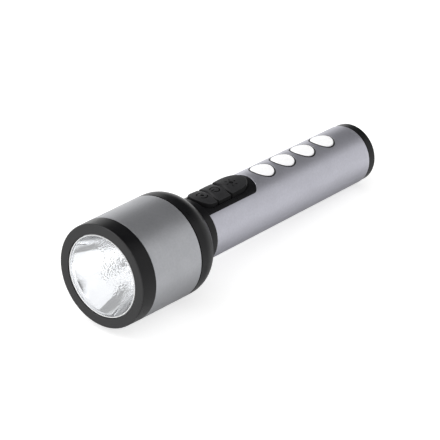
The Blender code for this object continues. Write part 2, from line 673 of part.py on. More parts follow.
def make_light_source(frame):
    half = LED_BASE_SIZE / 2
    square = [(-half, -half), (half, -half), (half, half), (-half, half)]
    led = cross_plate("main_led", frame, LED_BASE_X, square, LED_BASE_THICKNESS, led_yellow())
    angles = [math.pi / 2 * i / LED_DOME_STEPS for i in range(LED_DOME_STEPS + 1)]
    dome = [(-LED_DOME_RADIUS * math.cos(a), LED_DOME_RADIUS * math.sin(a)) for a in angles]
    root = LED_BASE_THICKNESS / 2
    dome += [(root, LED_DOME_RADIUS), (root, 0.0)]
    combine(led, turned("led_dome_helper", frame, LED_BASE_X, dome, None, ROUND_PIN), "UNION")

    disc = [(0.0, 0.0), (0.0, LED_BOARD_RADIUS), (LED_BOARD_THICKNESS, LED_BOARD_RADIUS),
            (LED_BOARD_THICKNESS, 0.0)]
    board = turned("led_board", frame, LED_BOARD_X, disc, circuit_board(), ROUND_SMALL)
    ring = [(0.0, HEAT_SINK_BORE), (0.0, HEAT_SINK_RADIUS), (HEAT_SINK_THICKNESS, HEAT_SINK_RADIUS),
            (HEAT_SINK_THICKNESS, HEAT_SINK_BORE)]
    sink = turned("heat_sink", frame, HEAT_SINK_X, ring, bare_aluminium(), ROUND_SMALL)

    for number, side in ((1, -1), (2, 1)):
        start = LED_BOARD_X - FIT - BOARD_SCREW_HEAD_HEIGHT
        shank_end = BOARD_SCREW_HEAD_HEIGHT + BOARD_SCREW_LENGTH
        profile = [(0.0, 0.0), (0.0, BOARD_SCREW_HEAD_RADIUS),
                   (BOARD_SCREW_HEAD_HEIGHT, BOARD_SCREW_HEAD_RADIUS),
                   (BOARD_SCREW_HEAD_HEIGHT, BOARD_SCREW_RADIUS),
                   (shank_end, BOARD_SCREW_RADIUS), (shank_end, 0.0)]
        screw = turned("board_screw_%d" % number, frame, start, profile, spring_steel(), ROUND_PIN)
        screw.location.y = side * BOARD_SCREW_OFFSET
        reach = HEAT_SINK_X + HEAT_SINK_THICKNESS - LED_BOARD_X + 2 * FIT
        radius = BOARD_SCREW_RADIUS + FIT
        hole = [(-FIT, 0.0), (-FIT, radius), (reach, radius), (reach, 0.0)]
        drill = turned("board_drill_%d" % number, frame, LED_BOARD_X, hole, None, ROUND_PIN)
        drill.location.y = side * BOARD_SCREW_OFFSET
        combine(board, drill, "DIFFERENCE")
        combine(sink, drill, "DIFFERENCE")


def make_head_sleeve(frame):
    profile = [(0.0, HEAD_SLEEVE_BORE), (0.0, HEAD_RADIUS),
               (HEAD_SLEEVE_LENGTH, HEAD_SLEEVE_BACK_RADIUS), (HEAD_SLEEVE_LENGTH, HEAD_SLEEVE_BORE)]
    turned("head_sleeve", frame, HEAD_SLEEVE_X, profile, grey_aluminium())


def make_head_housing(frame):
    """Cup for the reflector, bulkhead, and the rounded shoulder that meets the neck."""
    tube_radius = HEAD_SLEEVE_BORE - FIT
    round_centre = HEAD_SLEEVE_BACK_RADIUS - SHOULDER_ROUND
    shoulder = []
    for i in range(SHOULDER_STEPS + 1):
        angle = SHOULDER_SWEEP * i / SHOULDER_STEPS
        x = SHOULDER_REST_X + SHOULDER_ROUND * math.sin(angle)
        shoulder.append((x, round_centre + SHOULDER_ROUND * math.cos(angle)))
    bulkhead_end = BULKHEAD_X + BULKHEAD_THICKNESS
    neck_bore = SPIGOT_RADIUS + FIT
    profile = [
        (HOUSING_X, HEAD_CAVITY_RADIUS),
        (HOUSING_X, HOUSING_SPIGOT_RADIUS),
        (HEAD_SLEEVE_X, HOUSING_SPIGOT_RADIUS),
        (HEAD_SLEEVE_X, tube_radius),
        (SHOULDER_X, tube_radius),
        (SHOULDER_X, HEAD_SLEEVE_BACK_RADIUS - SHOULDER_EDGE),
        (SHOULDER_X + SHOULDER_EDGE, HEAD_SLEEVE_BACK_RADIUS),
        *shoulder,
        (HOUSING_END, neck_bore),
        (bulkhead_end, neck_bore),
        (bulkhead_end, BULKHEAD_HOLE_RADIUS),
        (BULKHEAD_X, BULKHEAD_HOLE_RADIUS),
        (BULKHEAD_X, HEAD_CAVITY_RADIUS),
    ]
    placed = [(x - HOUSING_X, r) for x, r in profile]
    turned("head_housing", frame, HOUSING_X, placed, black_plastic())


def thread_ridge(name, frame, root_radius, direction, shift):
    """A right-handed helical ridge round the axis; direction is 1 outwards and -1 inwards."""
    steps = int(THREAD_TURNS * THREAD_STEPS)
    bm = bmesh.new()
    rings = []
    for i in range(steps + 1):
        turn = 2 * math.pi * i / THREAD_STEPS
        x = shift + THREAD_PITCH * i / THREAD_STEPS
        root = root_radius - direction * THREAD_ROOT
        crest = root_radius + direction * THREAD_HEIGHT
        corners = [(x - THREAD_BASE / 2, root), (x + THREAD_BASE / 2, root),
                   (x + THREAD_CREST / 2, crest), (x - THREAD_CREST / 2, crest)]
        rings.append([bm.verts.new((cx, -r * math.sin(turn), r * math.cos(turn))) for cx, r in corners])
    for front, back in zip(rings, rings[1:]):
        for i in range(4):
            bm.faces.new((front[i - 1], front[i], back[i], back[i - 1]))
    bm.faces.new(rings[0])
    bm.faces.new(rings[-1][::-1])
    return add_object(name, mesh_from(bm, name), frame)


def notch_outline(shrink, front):
    """The tongue-shaped notch in the handle sleeve, open towards the head, as (x, y) points."""
    half = NOTCH_HALF_WIDTH - shrink
    straight_end = NOTCH_END - NOTCH_END_LENGTH
    reach = NOTCH_END_LENGTH - shrink
    angles = [math.pi / 2 * (1 - 2 * i / NOTCH_END_STEPS) for i in range(NOTCH_END_STEPS + 1)]
    rounded = [(straight_end + reach * math.cos(a), -half * math.sin(a)) for a in angles]
    return [(front, -half)] + rounded + [(front, half)]


def lamp_places():
    return [LAMP_FIRST_X + LAMP_PITCH * i for i in range(LAMP_COUNT)]


def lamp_drill(frame, name, x, radius):
    profile = [(0.0, 0.0), (0.0, radius), (HANDLE_RADIUS, radius), (HANDLE_RADIUS, 0.0)]
    return upright(name, frame, (x, 0.0, LAMP_BOARD_TOP), profile, None)


def make_handle(frame):
    tube = [(0.0, HANDLE_SLEEVE_BORE), (0.0, HANDLE_RADIUS), (HANDLE_SLEEVE_LENGTH, HANDLE_RADIUS),
            (HANDLE_SLEEVE_LENGTH, HANDLE_SLEEVE_BORE)]
    sleeve = turned("handle_sleeve", frame, HANDLE_SLEEVE_X, tube, grey_aluminium())
    notch = prism("notch_cutter", frame, notch_outline(0.0, NECK_X), 0.0, 2 * HANDLE_RADIUS)
    combine(sleeve, notch, "DIFFERENCE")
    for number, x in enumerate(lamp_places(), 1):
        drill = lamp_drill(frame, "sleeve_drill_%d" % number, x, LAMP_HOLE_RADIUS)
        combine(sleeve, drill, "DIFFERENCE")

    spigot_x = NECK_X - SPIGOT_LENGTH
    bore_x = NECK_X + NECK_WALL
    thread_x = TAIL_SPIGOT_X - FIT
    profile = [
        (spigot_x, SPIGOT_BORE),
        (spigot_x, SPIGOT_RADIUS),
        (NECK_X, SPIGOT_RADIUS),
        (NECK_X, NECK_RADIUS - NECK_CHAMFER),
        (NECK_X + NECK_CHAMFER, NECK_RADIUS),
        (NECK_END - NECK_CHAMFER, NECK_RADIUS),
        (NECK_END, NECK_RADIUS - NECK_CHAMFER),
        (NECK_END, CORE_RADIUS),
        (CORE_END, CORE_RADIUS),
        (CORE_END, TAIL_THREAD_BORE),
        (thread_x, TAIL_THREAD_BORE),
        (thread_x, CORE_BORE),
        (bore_x, CORE_BORE),
        (bore_x, SPIGOT_BORE),
    ]
    placed = [(x - spigot_x, r) for x, r in profile]
    core = turned("handle_core", frame, spigot_x, placed, black_plastic())

    tongue_inner = (CORE_BORE + CORE_RADIUS) / 2
    tongue_x = NECK_END - TONGUE_ROOT
    length = NOTCH_END - tongue_x
    ring = [(0.0, tongue_inner), (0.0, TONGUE_RADIUS), (length, TONGUE_RADIUS), (length, tongue_inner)]
    tongue = turned("tongue_helper", frame, tongue_x, ring, None)
    mask = prism("tongue_mask", frame, notch_outline(FIT, NECK_X), 0.0, 2 * HANDLE_RADIUS)
    combine(tongue, mask, "INTERSECT")
    combine(core, tongue, "UNION")

    opening = prism("key_opening_cutter", frame, key_pad_outline(FIT), SWITCH_BOARD_TOP, 2 * HANDLE_RADIUS)
    combine(core, opening, "DIFFERENCE")
    top = HANDLE_RADIUS + LAMP_LIP_PROUD
    reach = LAMP_HOLE_RADIUS
    for number, x in enumerate(lamp_places(), 1):
        ring = [(0.0, tongue_inner), (0.0, top), (2 * reach, top), (2 * reach, tongue_inner)]
        lip = turned("lamp_lip_helper_%d" % number, frame, x - reach, ring, None)
        mask = lamp_drill(frame, "lamp_lip_mask_%d" % number, x, LAMP_LIP_RADIUS)
        combine(lip, mask, "INTERSECT")
        combine(core, lip, "UNION")
        combine(core, lamp_drill(frame, "core_drill_%d" % number, x, LAMP_LIP_BORE), "DIFFERENCE")
    ridge = thread_ridge("core_thread_helper", frame, TAIL_THREAD_BORE, -1,
                         THREAD_START_X + THREAD_PITCH / 2)
    combine(core, ridge, "UNION")


def make_keys(frame):
    for name, start, end in key_spans():
        stations = key_stations(name, start, end)
        front_inset = KEY_TOP_INSET if name == "front" else KEY_SPLIT_INSET
        back_inset = KEY_TAIL_INSET if name == "rear" else KEY_SPLIT_INSET
        extra_rise = KEY_REAR_EXTRA_RISE if name == "rear" else 0.0
        key = key_body("key_" + name, frame, stations, front_inset, back_inset, extra_rise)
        centre = key_centre(start, end)
        nub = [(KEY_NUB_BOTTOM, 0.0), (KEY_NUB_BOTTOM, KEY_NUB_RADIUS),
               (KEY_UNDERSIDE + MAT_THICKNESS, KEY_NUB_RADIUS), (KEY_UNDERSIDE + MAT_THICKNESS, 0.0)]
        combine(key, upright("nub_helper_" + name, frame, (centre, 0.0, 0.0), nub, None, ROUND_PIN), "UNION")


def make_switches(frame):
    mat_half = math.sqrt(INSIDE_RADIUS ** 2 - MAT_TOP ** 2)
    mat = prism("keypad_mat", frame, rectangle(KEY_NOSE_X + MAT_INSET, KEY_TAIL_X - MAT_INSET, mat_half),
                MAT_BOTTOM, MAT_TOP, black_rubber())
    board_half = math.sqrt(INSIDE_RADIUS ** 2 - SWITCH_BOARD_TOP ** 2)
    outline = rectangle(SWITCH_BOARD_X, SWITCH_BOARD_END, board_half)
    prism("switch_board", frame, outline, SWITCH_BOARD_TOP - BOARD_THICKNESS, SWITCH_BOARD_TOP,
          circuit_board())
    for name, start, end in key_spans():
        centre = key_centre(start, end)
        radius = KEY_NUB_RADIUS + FIT
        hole = [(MAT_BOTTOM - FIT, 0.0), (MAT_BOTTOM - FIT, radius), (MAT_TOP + FIT, radius),
                (MAT_TOP + FIT, 0.0)]
        combine(mat, upright("mat_drill_" + name, frame, (centre, 0.0, 0.0), hole, None, ROUND_PIN),
                "DIFFERENCE")
        half = SWITCH_SIZE / 2
        switch = prism("switch_" + name, frame, rectangle(centre - half, centre + half, half),
                       SWITCH_BOTTOM, SWITCH_TOP, black_plastic(), (centre, 0.0, 0.0))
        floor = PLUNGER_TOP - PLUNGER_LENGTH - KEY_TRAVEL - FIT
        socket = [(floor, 0.0), (floor, PLUNGER_RADIUS + FIT), (PLUNGER_TOP, PLUNGER_RADIUS + FIT),
                  (PLUNGER_TOP, 0.0)]
        combine(switch, upright("socket_cutter_" + name, frame, (centre, 0.0, 0.0), socket, None,
                                ROUND_PIN), "DIFFERENCE")
        pin = [(PLUNGER_TOP - PLUNGER_LENGTH, 0.0), (PLUNGER_TOP - PLUNGER_LENGTH, PLUNGER_RADIUS),
               (PLUNGER_TOP, PLUNGER_RADIUS), (PLUNGER_TOP, 0.0)]
        upright("plunger_" + name, frame, (centre, 0.0, 0.0), pin, diffuser_plastic(), ROUND_PIN)


def make_side_lamps(frame):
    half_width = math.sqrt(INSIDE_RADIUS ** 2 - LAMP_BOARD_TOP ** 2)
    outline = rectangle(LAMP_BOARD_X, LAMP_BOARD_END, half_width)
    prism("lamp_board", frame, outline, LAMP_BOARD_Z, LAMP_BOARD_TOP, circuit_board())
    radius = LAMP_LENS_RADIUS
    above = LAMP_LENS_TOP_RADIUS + FIT
    profile = [(LAMP_LENS_BOTTOM_Z, 0.0), (LAMP_LENS_BOTTOM_Z, radius), (above, radius), (above, 0.0)]
    reach = 2 * (radius + FIT)
    round_top = [(0.0, 0.0), (0.0, LAMP_LENS_TOP_RADIUS), (reach, LAMP_LENS_TOP_RADIUS), (reach, 0.0)]
    half = LAMP_LED_SIZE / 2
    for number, x in enumerate(lamp_places(), 1):
        lens = upright("side_lens_%d" % number, frame, (x, 0.0, 0.0), profile, diffuser_plastic())
        limit = turned("lens_top_helper_%d" % number, frame, x - reach / 2, round_top, None)
        combine(lens, limit, "INTERSECT")
        prism("side_led_%d" % number, frame, rectangle(x - half, x + half, half), LAMP_LED_Z,
              LAMP_LED_Z + LAMP_LED_HEIGHT, led_yellow(), (x, 0.0, 0.0))


def cell_places():
    """Sideways place and height of each cell: one low in the middle, two above it."""
    return [(0.0, CELL_LOW_Z), (-CELL_SPACING / 2, CELL_HIGH_Z), (CELL_SPACING / 2, CELL_HIGH_Z)]


def make_batteries(frame):
    plate = clipped_disc(INSIDE_RADIUS, CARRIER_TOP_Z)
    carrier = cross_plate("battery_carrier", frame, CARRIER_FRONT_X, plate, CARRIER_PLATE_THICKNESS,
                          black_plastic())
    rear = cross_plate("carrier_rear_helper", frame, CARRIER_REAR_X, plate, CARRIER_PLATE_THICKNESS, None)
    combine(carrier, rear, "UNION")
    overlap = CARRIER_PLATE_THICKNESS / 2
    span = CARRIER_REAR_X - CARRIER_FRONT_X
    side = CARRIER_ROD_OFFSET * math.cos(CARRIER_ROD_ANGLE)
    low = CELL_CENTRE_Z - CARRIER_ROD_OFFSET * math.sin(CARRIER_ROD_ANGLE)
    top_rod_z = CARRIER_TOP_Z - CARRIER_TOP_ROD_DROP
    rods = [(-side, low, CARRIER_ROD_RADIUS), (side, low, CARRIER_ROD_RADIUS),
            (0.0, top_rod_z, CARRIER_TOP_ROD_RADIUS)]
    for number, (y, z, radius) in enumerate(rods, 1):
        profile = [(0.0, 0.0), (0.0, radius), (span, radius), (span, 0.0)]
        rod = turned("carrier_rod_%d" % number, frame, CARRIER_FRONT_X + overlap, profile, None, ROUND_PIN)
        rod.location.y = y
        rod.location.z = z
        combine(carrier, rod, "UNION")

    body = [(0.0, 0.0), (0.0, CELL_RADIUS), (CELL_LENGTH, CELL_RADIUS), (CELL_LENGTH, CELL_NUB_RADIUS),
            (CELL_LENGTH + CELL_NUB_LENGTH, CELL_NUB_RADIUS), (CELL_LENGTH + CELL_NUB_LENGTH, 0.0)]
    whole = CELL_LENGTH + CELL_NUB_LENGTH
    flipped = [(whole - x, r) for x, r in reversed(body)]
    for number, (y, z) in enumerate(cell_places(), 1):
        profile = flipped if number == 2 else body
        cell = turned("cell_%d" % number, frame, CELL_X, profile, cell_wrap(), ROUND_SMALL)
        cell.location.y = y
        cell.location.z = z

    low_cell, left_cell, right_cell = cell_places()
    cell_link("cell_link_front", frame, LINK_FRONT_X, left_cell, low_cell)
    cell_link("cell_link_rear", frame, LINK_REAR_X, left_cell, right_cell)
    pad = [(0.0, 0.0), (0.0, CONTACT_PAD_RADIUS), (LINK_THICKNESS, CONTACT_PAD_RADIUS),
           (LINK_THICKNESS, 0.0)]
    turned("carrier_contact", frame, CARRIER_CONTACT_X, pad, brass(), ROUND_SMALL)

    cross_plate("contact_board", frame, CONTACT_BOARD_X, plate, CONTACT_BOARD_THICKNESS, circuit_board())
    make_spring("front_spring", frame, FRONT_SPRING_X, FRONT_SPRING_LENGTH, FRONT_SPRING_RADIUS,
                FRONT_SPRING_RADIUS, FRONT_SPRING_TURNS, FRONT_SPRING_WIRE)


def cell_link(name, frame, start, first, second):
    """A brass strip with round ends that joins two cells."""
    along = Vector(second) - Vector(first)
    heading = math.atan2(along.y, along.x)
    outline = []
    for centre, offset in ((first, heading + math.pi / 2), (second, heading - math.pi / 2)):
        for i in range(LINK_END_STEPS + 1):
            angle = offset + math.pi * i / LINK_END_STEPS
            outline.append((centre[0] + LINK_RADIUS * math.cos(angle),
                            centre[1] + LINK_RADIUS * math.sin(angle)))
    cross_plate(name, frame, start, outline, LINK_THICKNESS, brass())


def make_spring(name, frame, start, length, first_radius, last_radius, turns, wire_radius):
    """One unbroken coil whose ends lie flat against what they press on."""
    count = int(turns * SPRING_POINTS_PER_TURN) + 1
    inner_length = length - 2 * wire_radius
    points = []
    for i in range(count):
        share = i / (count - 1)
        angle = 2 * math.pi * turns * share
        radius = first_radius + (last_radius - first_radius) * share
        x = start + wire_radius + inner_length * share
        points.append((x, radius * math.sin(angle), radius * math.cos(angle)))
    gap = math.hypot(inner_length / turns, (last_radius - first_radius) / turns) - 2 * wire_radius
    print("%s: gap between turns %.2f mm" % (name, gap / MM))
    wire(name, frame, points, wire_radius, spring_steel(), SPRING_BEVEL)


def make_tail(frame):
    groove_floor = TAIL_SPIGOT_RADIUS - SEAL_RADIUS
    seal_front = SEAL_X - SEAL_RADIUS - FIT
    seal_back = SEAL_X + SEAL_RADIUS + FIT
    edge_middle = TAIL_EDGE * EDGE_SHARE
    profile = [
        (TAIL_SPIGOT_X, TAIL_SPIGOT_BORE),
        (TAIL_SPIGOT_X, TAIL_SPIGOT_RADIUS),
        (seal_front, TAIL_SPIGOT_RADIUS),
        (seal_front, groove_floor),
        (seal_back, groove_floor),
        (seal_back, TAIL_SPIGOT_RADIUS),
        (TAIL_CAP_X, TAIL_SPIGOT_RADIUS),
        (TAIL_CAP_X, TAIL_RADIUS - TAIL_GROOVE_DEPTH),
        (TAIL_CAP_X + TAIL_GROOVE_LENGTH, TAIL_RADIUS - TAIL_GROOVE_DEPTH),
        (TAIL_CAP_X + TAIL_GROOVE_LENGTH, TAIL_RADIUS),
        (TAIL_END - TAIL_EDGE, TAIL_RADIUS),
        (TAIL_END - edge_middle, TAIL_RADIUS - edge_middle),
        (TAIL_END, TAIL_RADIUS - TAIL_EDGE),
        (TAIL_END, 0.0),
        (TAIL_FLOOR_X, 0.0),
        (TAIL_FLOOR_X, TAIL_SPIGOT_BORE),
    ]
    placed = [(x - TAIL_SPIGOT_X, r) for x, r in profile]
    cap = turned("tail_cap", frame, TAIL_SPIGOT_X, placed, black_plastic())
    ridge = thread_ridge("cap_thread_helper", frame, TAIL_SPIGOT_RADIUS, 1, THREAD_START_X)
    combine(cap, ridge, "UNION")

    seal_centre = groove_floor + FIT + SEAL_RADIUS
    ring = []
    for i in range(SEAL_SIDES):
        angle = 2 * math.pi * i / SEAL_SIDES
        ring.append((SEAL_RADIUS * math.cos(angle), seal_centre + SEAL_RADIUS * math.sin(angle)))
    turned("tail_seal", frame, SEAL_X, ring, black_rubber(), ROUND_SMALL)

    washer = [(0.0, WASHER_BORE), (0.0, WASHER_RADIUS), (WASHER_THICKNESS, WASHER_RADIUS),
              (WASHER_THICKNESS, WASHER_BORE)]
    turned("tail_washer", frame, WASHER_X, washer, spring_steel(), ROUND_SMALL)
    start = CARRIER_REAR_X + CARRIER_PLATE_THICKNESS + FIT
    make_spring("tail_spring", frame, start, WASHER_X - FIT - start, TAIL_SPRING_SMALL_RADIUS,
                TAIL_SPRING_LARGE_RADIUS, TAIL_SPRING_TURNS, TAIL_SPRING_WIRE)


def eased_run(start, end):
    """Points along a wire that leaves and arrives along the axis."""
    points = []
    for i in range(WIRE_POINTS):
        share = i / (WIRE_POINTS - 1)
        rise = share * share * (3 - 2 * share)
        points.append((start[0] + (end[0] - start[0]) * share,
                       start[1] + (end[1] - start[1]) * rise,
                       start[2] + (end[2] - start[2]) * rise))
    return points


def make_wires(frame):
    board_back = LED_BOARD_X + LED_BOARD_THICKNESS + FIT
    board_front = SWITCH_BOARD_X - FIT
    board_rear = SWITCH_BOARD_END + FIT
    level = SWITCH_BOARD_MIDDLE
    lamp_level = LAMP_BOARD_Z + LAMP_BOARD_THICKNESS / 2
    for colour, side, material in (("red", 1, wire_red()), ("black", -1, wire_black())):
        spread = side * LED_WIRE_SPREAD
        wire("led_wire_" + colour, frame,
             eased_run((board_back, spread, 0.0), (board_front, spread, level)), WIRE_RADIUS, material)
        spread = side * BATTERY_WIRE_SPREAD
        wire("battery_wire_" + colour, frame,
             eased_run((board_rear, spread, level), (CONTACT_BOARD_X - FIT, spread, 0.0)),
             WIRE_RADIUS, material)
        spread = side * LAMP_WIRE_SPREAD
        wire("lamp_wire_" + colour, frame,
             eased_run((board_rear, spread, level), (LAMP_BOARD_X - FIT, spread, lamp_level)),
             WIRE_RADIUS, material)


def stand_on_floor(frame):
    """Tip the torch, then set its box's bottom centre at the world's origin."""
    frame.rotation_euler = (0.0, TILT, 0.0)
    bpy.context.view_layer.update()
    graph = bpy.context.evaluated_depsgraph_get()
    low = Vector((math.inf,) * 3)
    high = -low
    for item in bpy.context.scene.objects:
        if item.type not in {"MESH", "CURVE"} or item.hide_render:
            continue
        ready = item.evaluated_get(graph)
        mesh = ready.to_mesh()
        for vertex in mesh.vertices:
            place = ready.matrix_world @ vertex.co
            low = Vector(map(min, low, place))
            high = Vector(map(max, high, place))
        ready.to_mesh_clear()
    frame.location = (-(low.x + high.x) / 2, -(low.y + high.y) / 2, -low.z)
    bpy.context.view_layer.update()


def main():
    clear_scene()
    frame = torch_frame()
    make_bezel(frame)
    make_front_lens(frame)
    make_reflector(frame)
    make_light_source(frame)
    make_head_sleeve(frame)
    make_head_housing(frame)
    make_handle(frame)
    make_keys(frame)
    make_switches(frame)
    make_side_lamps(frame)
    make_batteries(frame)
    make_tail(frame)
    make_wires(frame)
    stand_on_floor(frame)


main()
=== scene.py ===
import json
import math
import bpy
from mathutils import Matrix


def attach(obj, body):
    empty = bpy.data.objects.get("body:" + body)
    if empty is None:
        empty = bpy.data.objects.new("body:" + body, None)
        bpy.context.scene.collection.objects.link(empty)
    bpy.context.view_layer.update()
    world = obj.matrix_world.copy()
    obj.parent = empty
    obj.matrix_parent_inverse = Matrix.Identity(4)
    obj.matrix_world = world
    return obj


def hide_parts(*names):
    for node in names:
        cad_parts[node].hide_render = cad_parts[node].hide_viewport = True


bl_info = {
    "name": "Battery Torch Dresser",
    "version": (1, 0, 0),
    "blender": (4, 5, 0),
    "location": "3D View > Sidebar > Torch",
    "description": "Dresses the packed torch with smooth pieces, finishes and a plain studio",
    "category": "Object",
}

import bmesh
import bpy
from bpy.props import FloatProperty, FloatVectorProperty, IntProperty, PointerProperty
from mathutils import Matrix, Vector
from mathutils.geometry import delaunay_2d_cdt

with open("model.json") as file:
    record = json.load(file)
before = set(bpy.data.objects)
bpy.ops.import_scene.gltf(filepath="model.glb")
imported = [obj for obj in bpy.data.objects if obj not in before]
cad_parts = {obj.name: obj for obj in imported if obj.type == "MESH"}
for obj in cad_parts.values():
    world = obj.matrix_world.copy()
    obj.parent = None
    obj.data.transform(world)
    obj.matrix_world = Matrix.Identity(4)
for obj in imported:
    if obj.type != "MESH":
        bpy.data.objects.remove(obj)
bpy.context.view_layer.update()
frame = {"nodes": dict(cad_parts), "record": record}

MM = 0.001
FIT = 0.3 * MM

# Places along the torch's axis, from the bezel's front face
LIP_THICKNESS = 1.1 * MM
LENS_FRONT = 1.4 * MM
LENS_BACK = 3.0 * MM
COLLAR_FRONT = 3.3 * MM
REFLECTOR_MOUTH = 4.4 * MM
REFLECTOR_THROAT = 29.4 * MM
HOUSING_FRONT = 5.9 * MM
BEZEL_BACK = 8.46 * MM
HEAD_SLEEVE_FRONT = 8.76 * MM
LED_BASE_FRONT = 29.7 * MM
BULKHEAD_FRONT = 36.0 * MM
BULKHEAD_BACK = 38.4 * MM
HEAD_SLEEVE_BACK = 40.16 * MM
SHOULDER_FRONT = 40.71 * MM
SHOULDER_REST = 44.46 * MM
HOUSING_BACK = 56.27 * MM
NECK_FRONT = 56.57 * MM
SPIGOT_FRONT = 42.57 * MM
NECK_BACK = 63.62 * MM
TONGUE_FRONT = 62.82 * MM
HANDLE_SLEEVE_FRONT = 63.92 * MM
NOTCH_STRAIGHT_END = 98.27 * MM
NOTCH_ROUND_LENGTH = 6.4 * MM
KEY_NOSE = 63.62 * MM
KEY_SPLITS = (74.85 * MM, 84.9 * MM)
KEY_TAIL = 101.5 * MM
LAMP_PLACES = (116.42 * MM, 132.82 * MM, 149.22 * MM, 165.62 * MM)
TAIL_SPIGOT_FRONT = 179.82 * MM
SEAL_PLACE = 186.92 * MM
SEAL_ROOM = 0.8 * MM
SEAL_THICKNESS = 0.5 * MM
CORE_BACK = 187.57 * MM
HANDLE_SLEEVE_BACK = 187.92 * MM
TAIL_RIM_FRONT = 188.22 * MM
TAIL_FLOOR = 191.42 * MM
TORCH_LENGTH = 193.42 * MM
TAIL_DISH_FLOOR = TORCH_LENGTH - 0.45 * MM
TAIL_RIM_STEP = 0.4 * MM

# Radii about the torch's axis
LIP_RADIUS = 20.1 * MM
LENS_BOSS_RADIUS = 19.8 * MM
LENS_FACE_RADIUS = 19.3 * MM
REFLECTOR_MOUTH_RADIUS = 20.4 * MM
REFLECTOR_THROAT_RADIUS = 3.1 * MM
REFLECTOR_WALL = 1.2 * MM
COLLAR_RADIUS = 21.1 * MM
LENS_RADIUS = 23.0 * MM
BEZEL_BORE = 23.3 * MM
BEZEL_FRONT_RADIUS = 25.0 * MM
HEAD_RADIUS = 25.2 * MM
HEAD_BACK_RADIUS = 25.5 * MM
HEAD_SLEEVE_BORE = 24.3 * MM
HOUSING_TUBE_RADIUS = 24.0 * MM
HEAD_CAVITY_RADIUS = 21.6 * MM
SHOULDER_ROUND = 12.25 * MM
SHOULDER_SWEEP = math.radians(74.6)
NECK_RADIUS = 16.2 * MM
SPIGOT_RADIUS = 13.0 * MM
SPIGOT_BORE = 11.0 * MM
BULKHEAD_HOLE_RADIUS = 3.0 * MM
HANDLE_RADIUS = 15.6 * MM
HANDLE_SLEEVE_BORE = 14.9 * MM
CORE_RADIUS = 14.6 * MM
CORE_BORE = 12.9 * MM
TONGUE_RADIUS = 15.4 * MM
KEY_TOP_RADIUS = 16.7 * MM
KEY_REAR_EXTRA_RISE = 0.3 * MM
KEY_SHOULDER_RADIUS = 16.2 * MM
TAIL_RADIUS = 15.35 * MM
TAIL_SPIGOT_RADIUS = 12.55 * MM
TAIL_SPIGOT_BORE = 10.4 * MM
TAIL_DISH_RADIUS = 12.0 * MM

# Plan sizes, looking straight down on the keys and lamps
NOTCH_HALF_WIDTH = 9.8 * MM
KEY_HALF_WIDTH = 7.25 * MM
KEY_CROWN = 0.3 * MM
KEY_NOSE_LENGTH = 6.0 * MM
KEY_TAIL_LENGTH = 11.0 * MM
KEY_SPLIT = 0.8 * MM
KEY_NOSE_GAP = 0.7 * MM
KEY_UNDERSIDE = 11.6 * MM
LAMP_HOLE_RADIUS = 6.8 * MM
LAMP_LIP_RADIUS = 6.6 * MM
LAMP_LIP_BORE = 6.2 * MM
LAMP_LIP_TOP_RADIUS = 15.75 * MM
LAMP_LENS_RADIUS = 5.95 * MM
LAMP_LENS_BOTTOM = 11.4 * MM
LAMP_LENS_TOP_RADIUS = 15.85 * MM

# Thread of the tail cap
THREAD_PITCH = 2.0 * MM
THREAD_TURNS = 2.0
THREAD_START = 180.72 * MM
THREAD_HEIGHT = 0.75 * MM
THREAD_ROOT = 0.25 * MM
THREAD_BASE = 0.9 * MM
THREAD_CREST = 0.4 * MM


def torch_matrix():
    """The torch's own frame: X along its axis from the bezel's face, Z up through the keys."""
    tail = next(m for m in frame["record"]["mounts"] if m["name"] == "tail_face")
    along = Vector(tail["axis"]).normalized()
    side = Vector((0.0, 1.0, 0.0))
    turn = Matrix((along, side, along.cross(side))).transposed().to_4x4()
    return Matrix.Translation(Vector(tail["pos_m"]) - along * TORCH_LENGTH) @ turn


TORCH = torch_matrix()


class TorchFinishes(bpy.types.PropertyGroup):
    """Colours of the torch's finishes."""

    aluminium: FloatVectorProperty(
        name="Handle aluminium", description="Colour of the handle's satin anodised sleeve",
        subtype="COLOR", size=3, min=0.0, max=1.0, default=(0.515, 0.515, 0.572))
    # The head's grey is a darker copy of the handle's: painted shade for the head taking less light.
    head_aluminium: FloatVectorProperty(
        name="Head aluminium", description="Colour of the head's satin anodised sleeve",
        subtype="COLOR", size=3, min=0.0, max=1.0, default=(0.418, 0.424, 0.445))
    plastic: FloatVectorProperty(
        name="Plastic", description="Colour of the moulded black plastic",
        subtype="COLOR", size=3, min=0.0, max=1.0, default=(0.0048, 0.0048, 0.0056))
    rubber: FloatVectorProperty(
        name="Rubber", description="Colour of the keys",
        subtype="COLOR", size=3, min=0.0, max=1.0, default=(0.020, 0.020, 0.0215))
    lamp: FloatVectorProperty(
        name="Lamp lens", description="Colour of the milky side lamp lenses",
        subtype="COLOR", size=3, min=0.0, max=1.0, default=(0.94, 0.94, 0.945))
    board: FloatVectorProperty(
        name="Circuit board", description="Colour of the solder mask",
        subtype="COLOR", size=3, min=0.0, max=1.0, default=(0.02, 0.15, 0.07))
    cell: FloatVectorProperty(
        name="Cell sleeve", description="Colour of the sleeve round each cell",
        subtype="COLOR", size=3, min=0.0, max=1.0, default=(0.10, 0.18, 0.28))


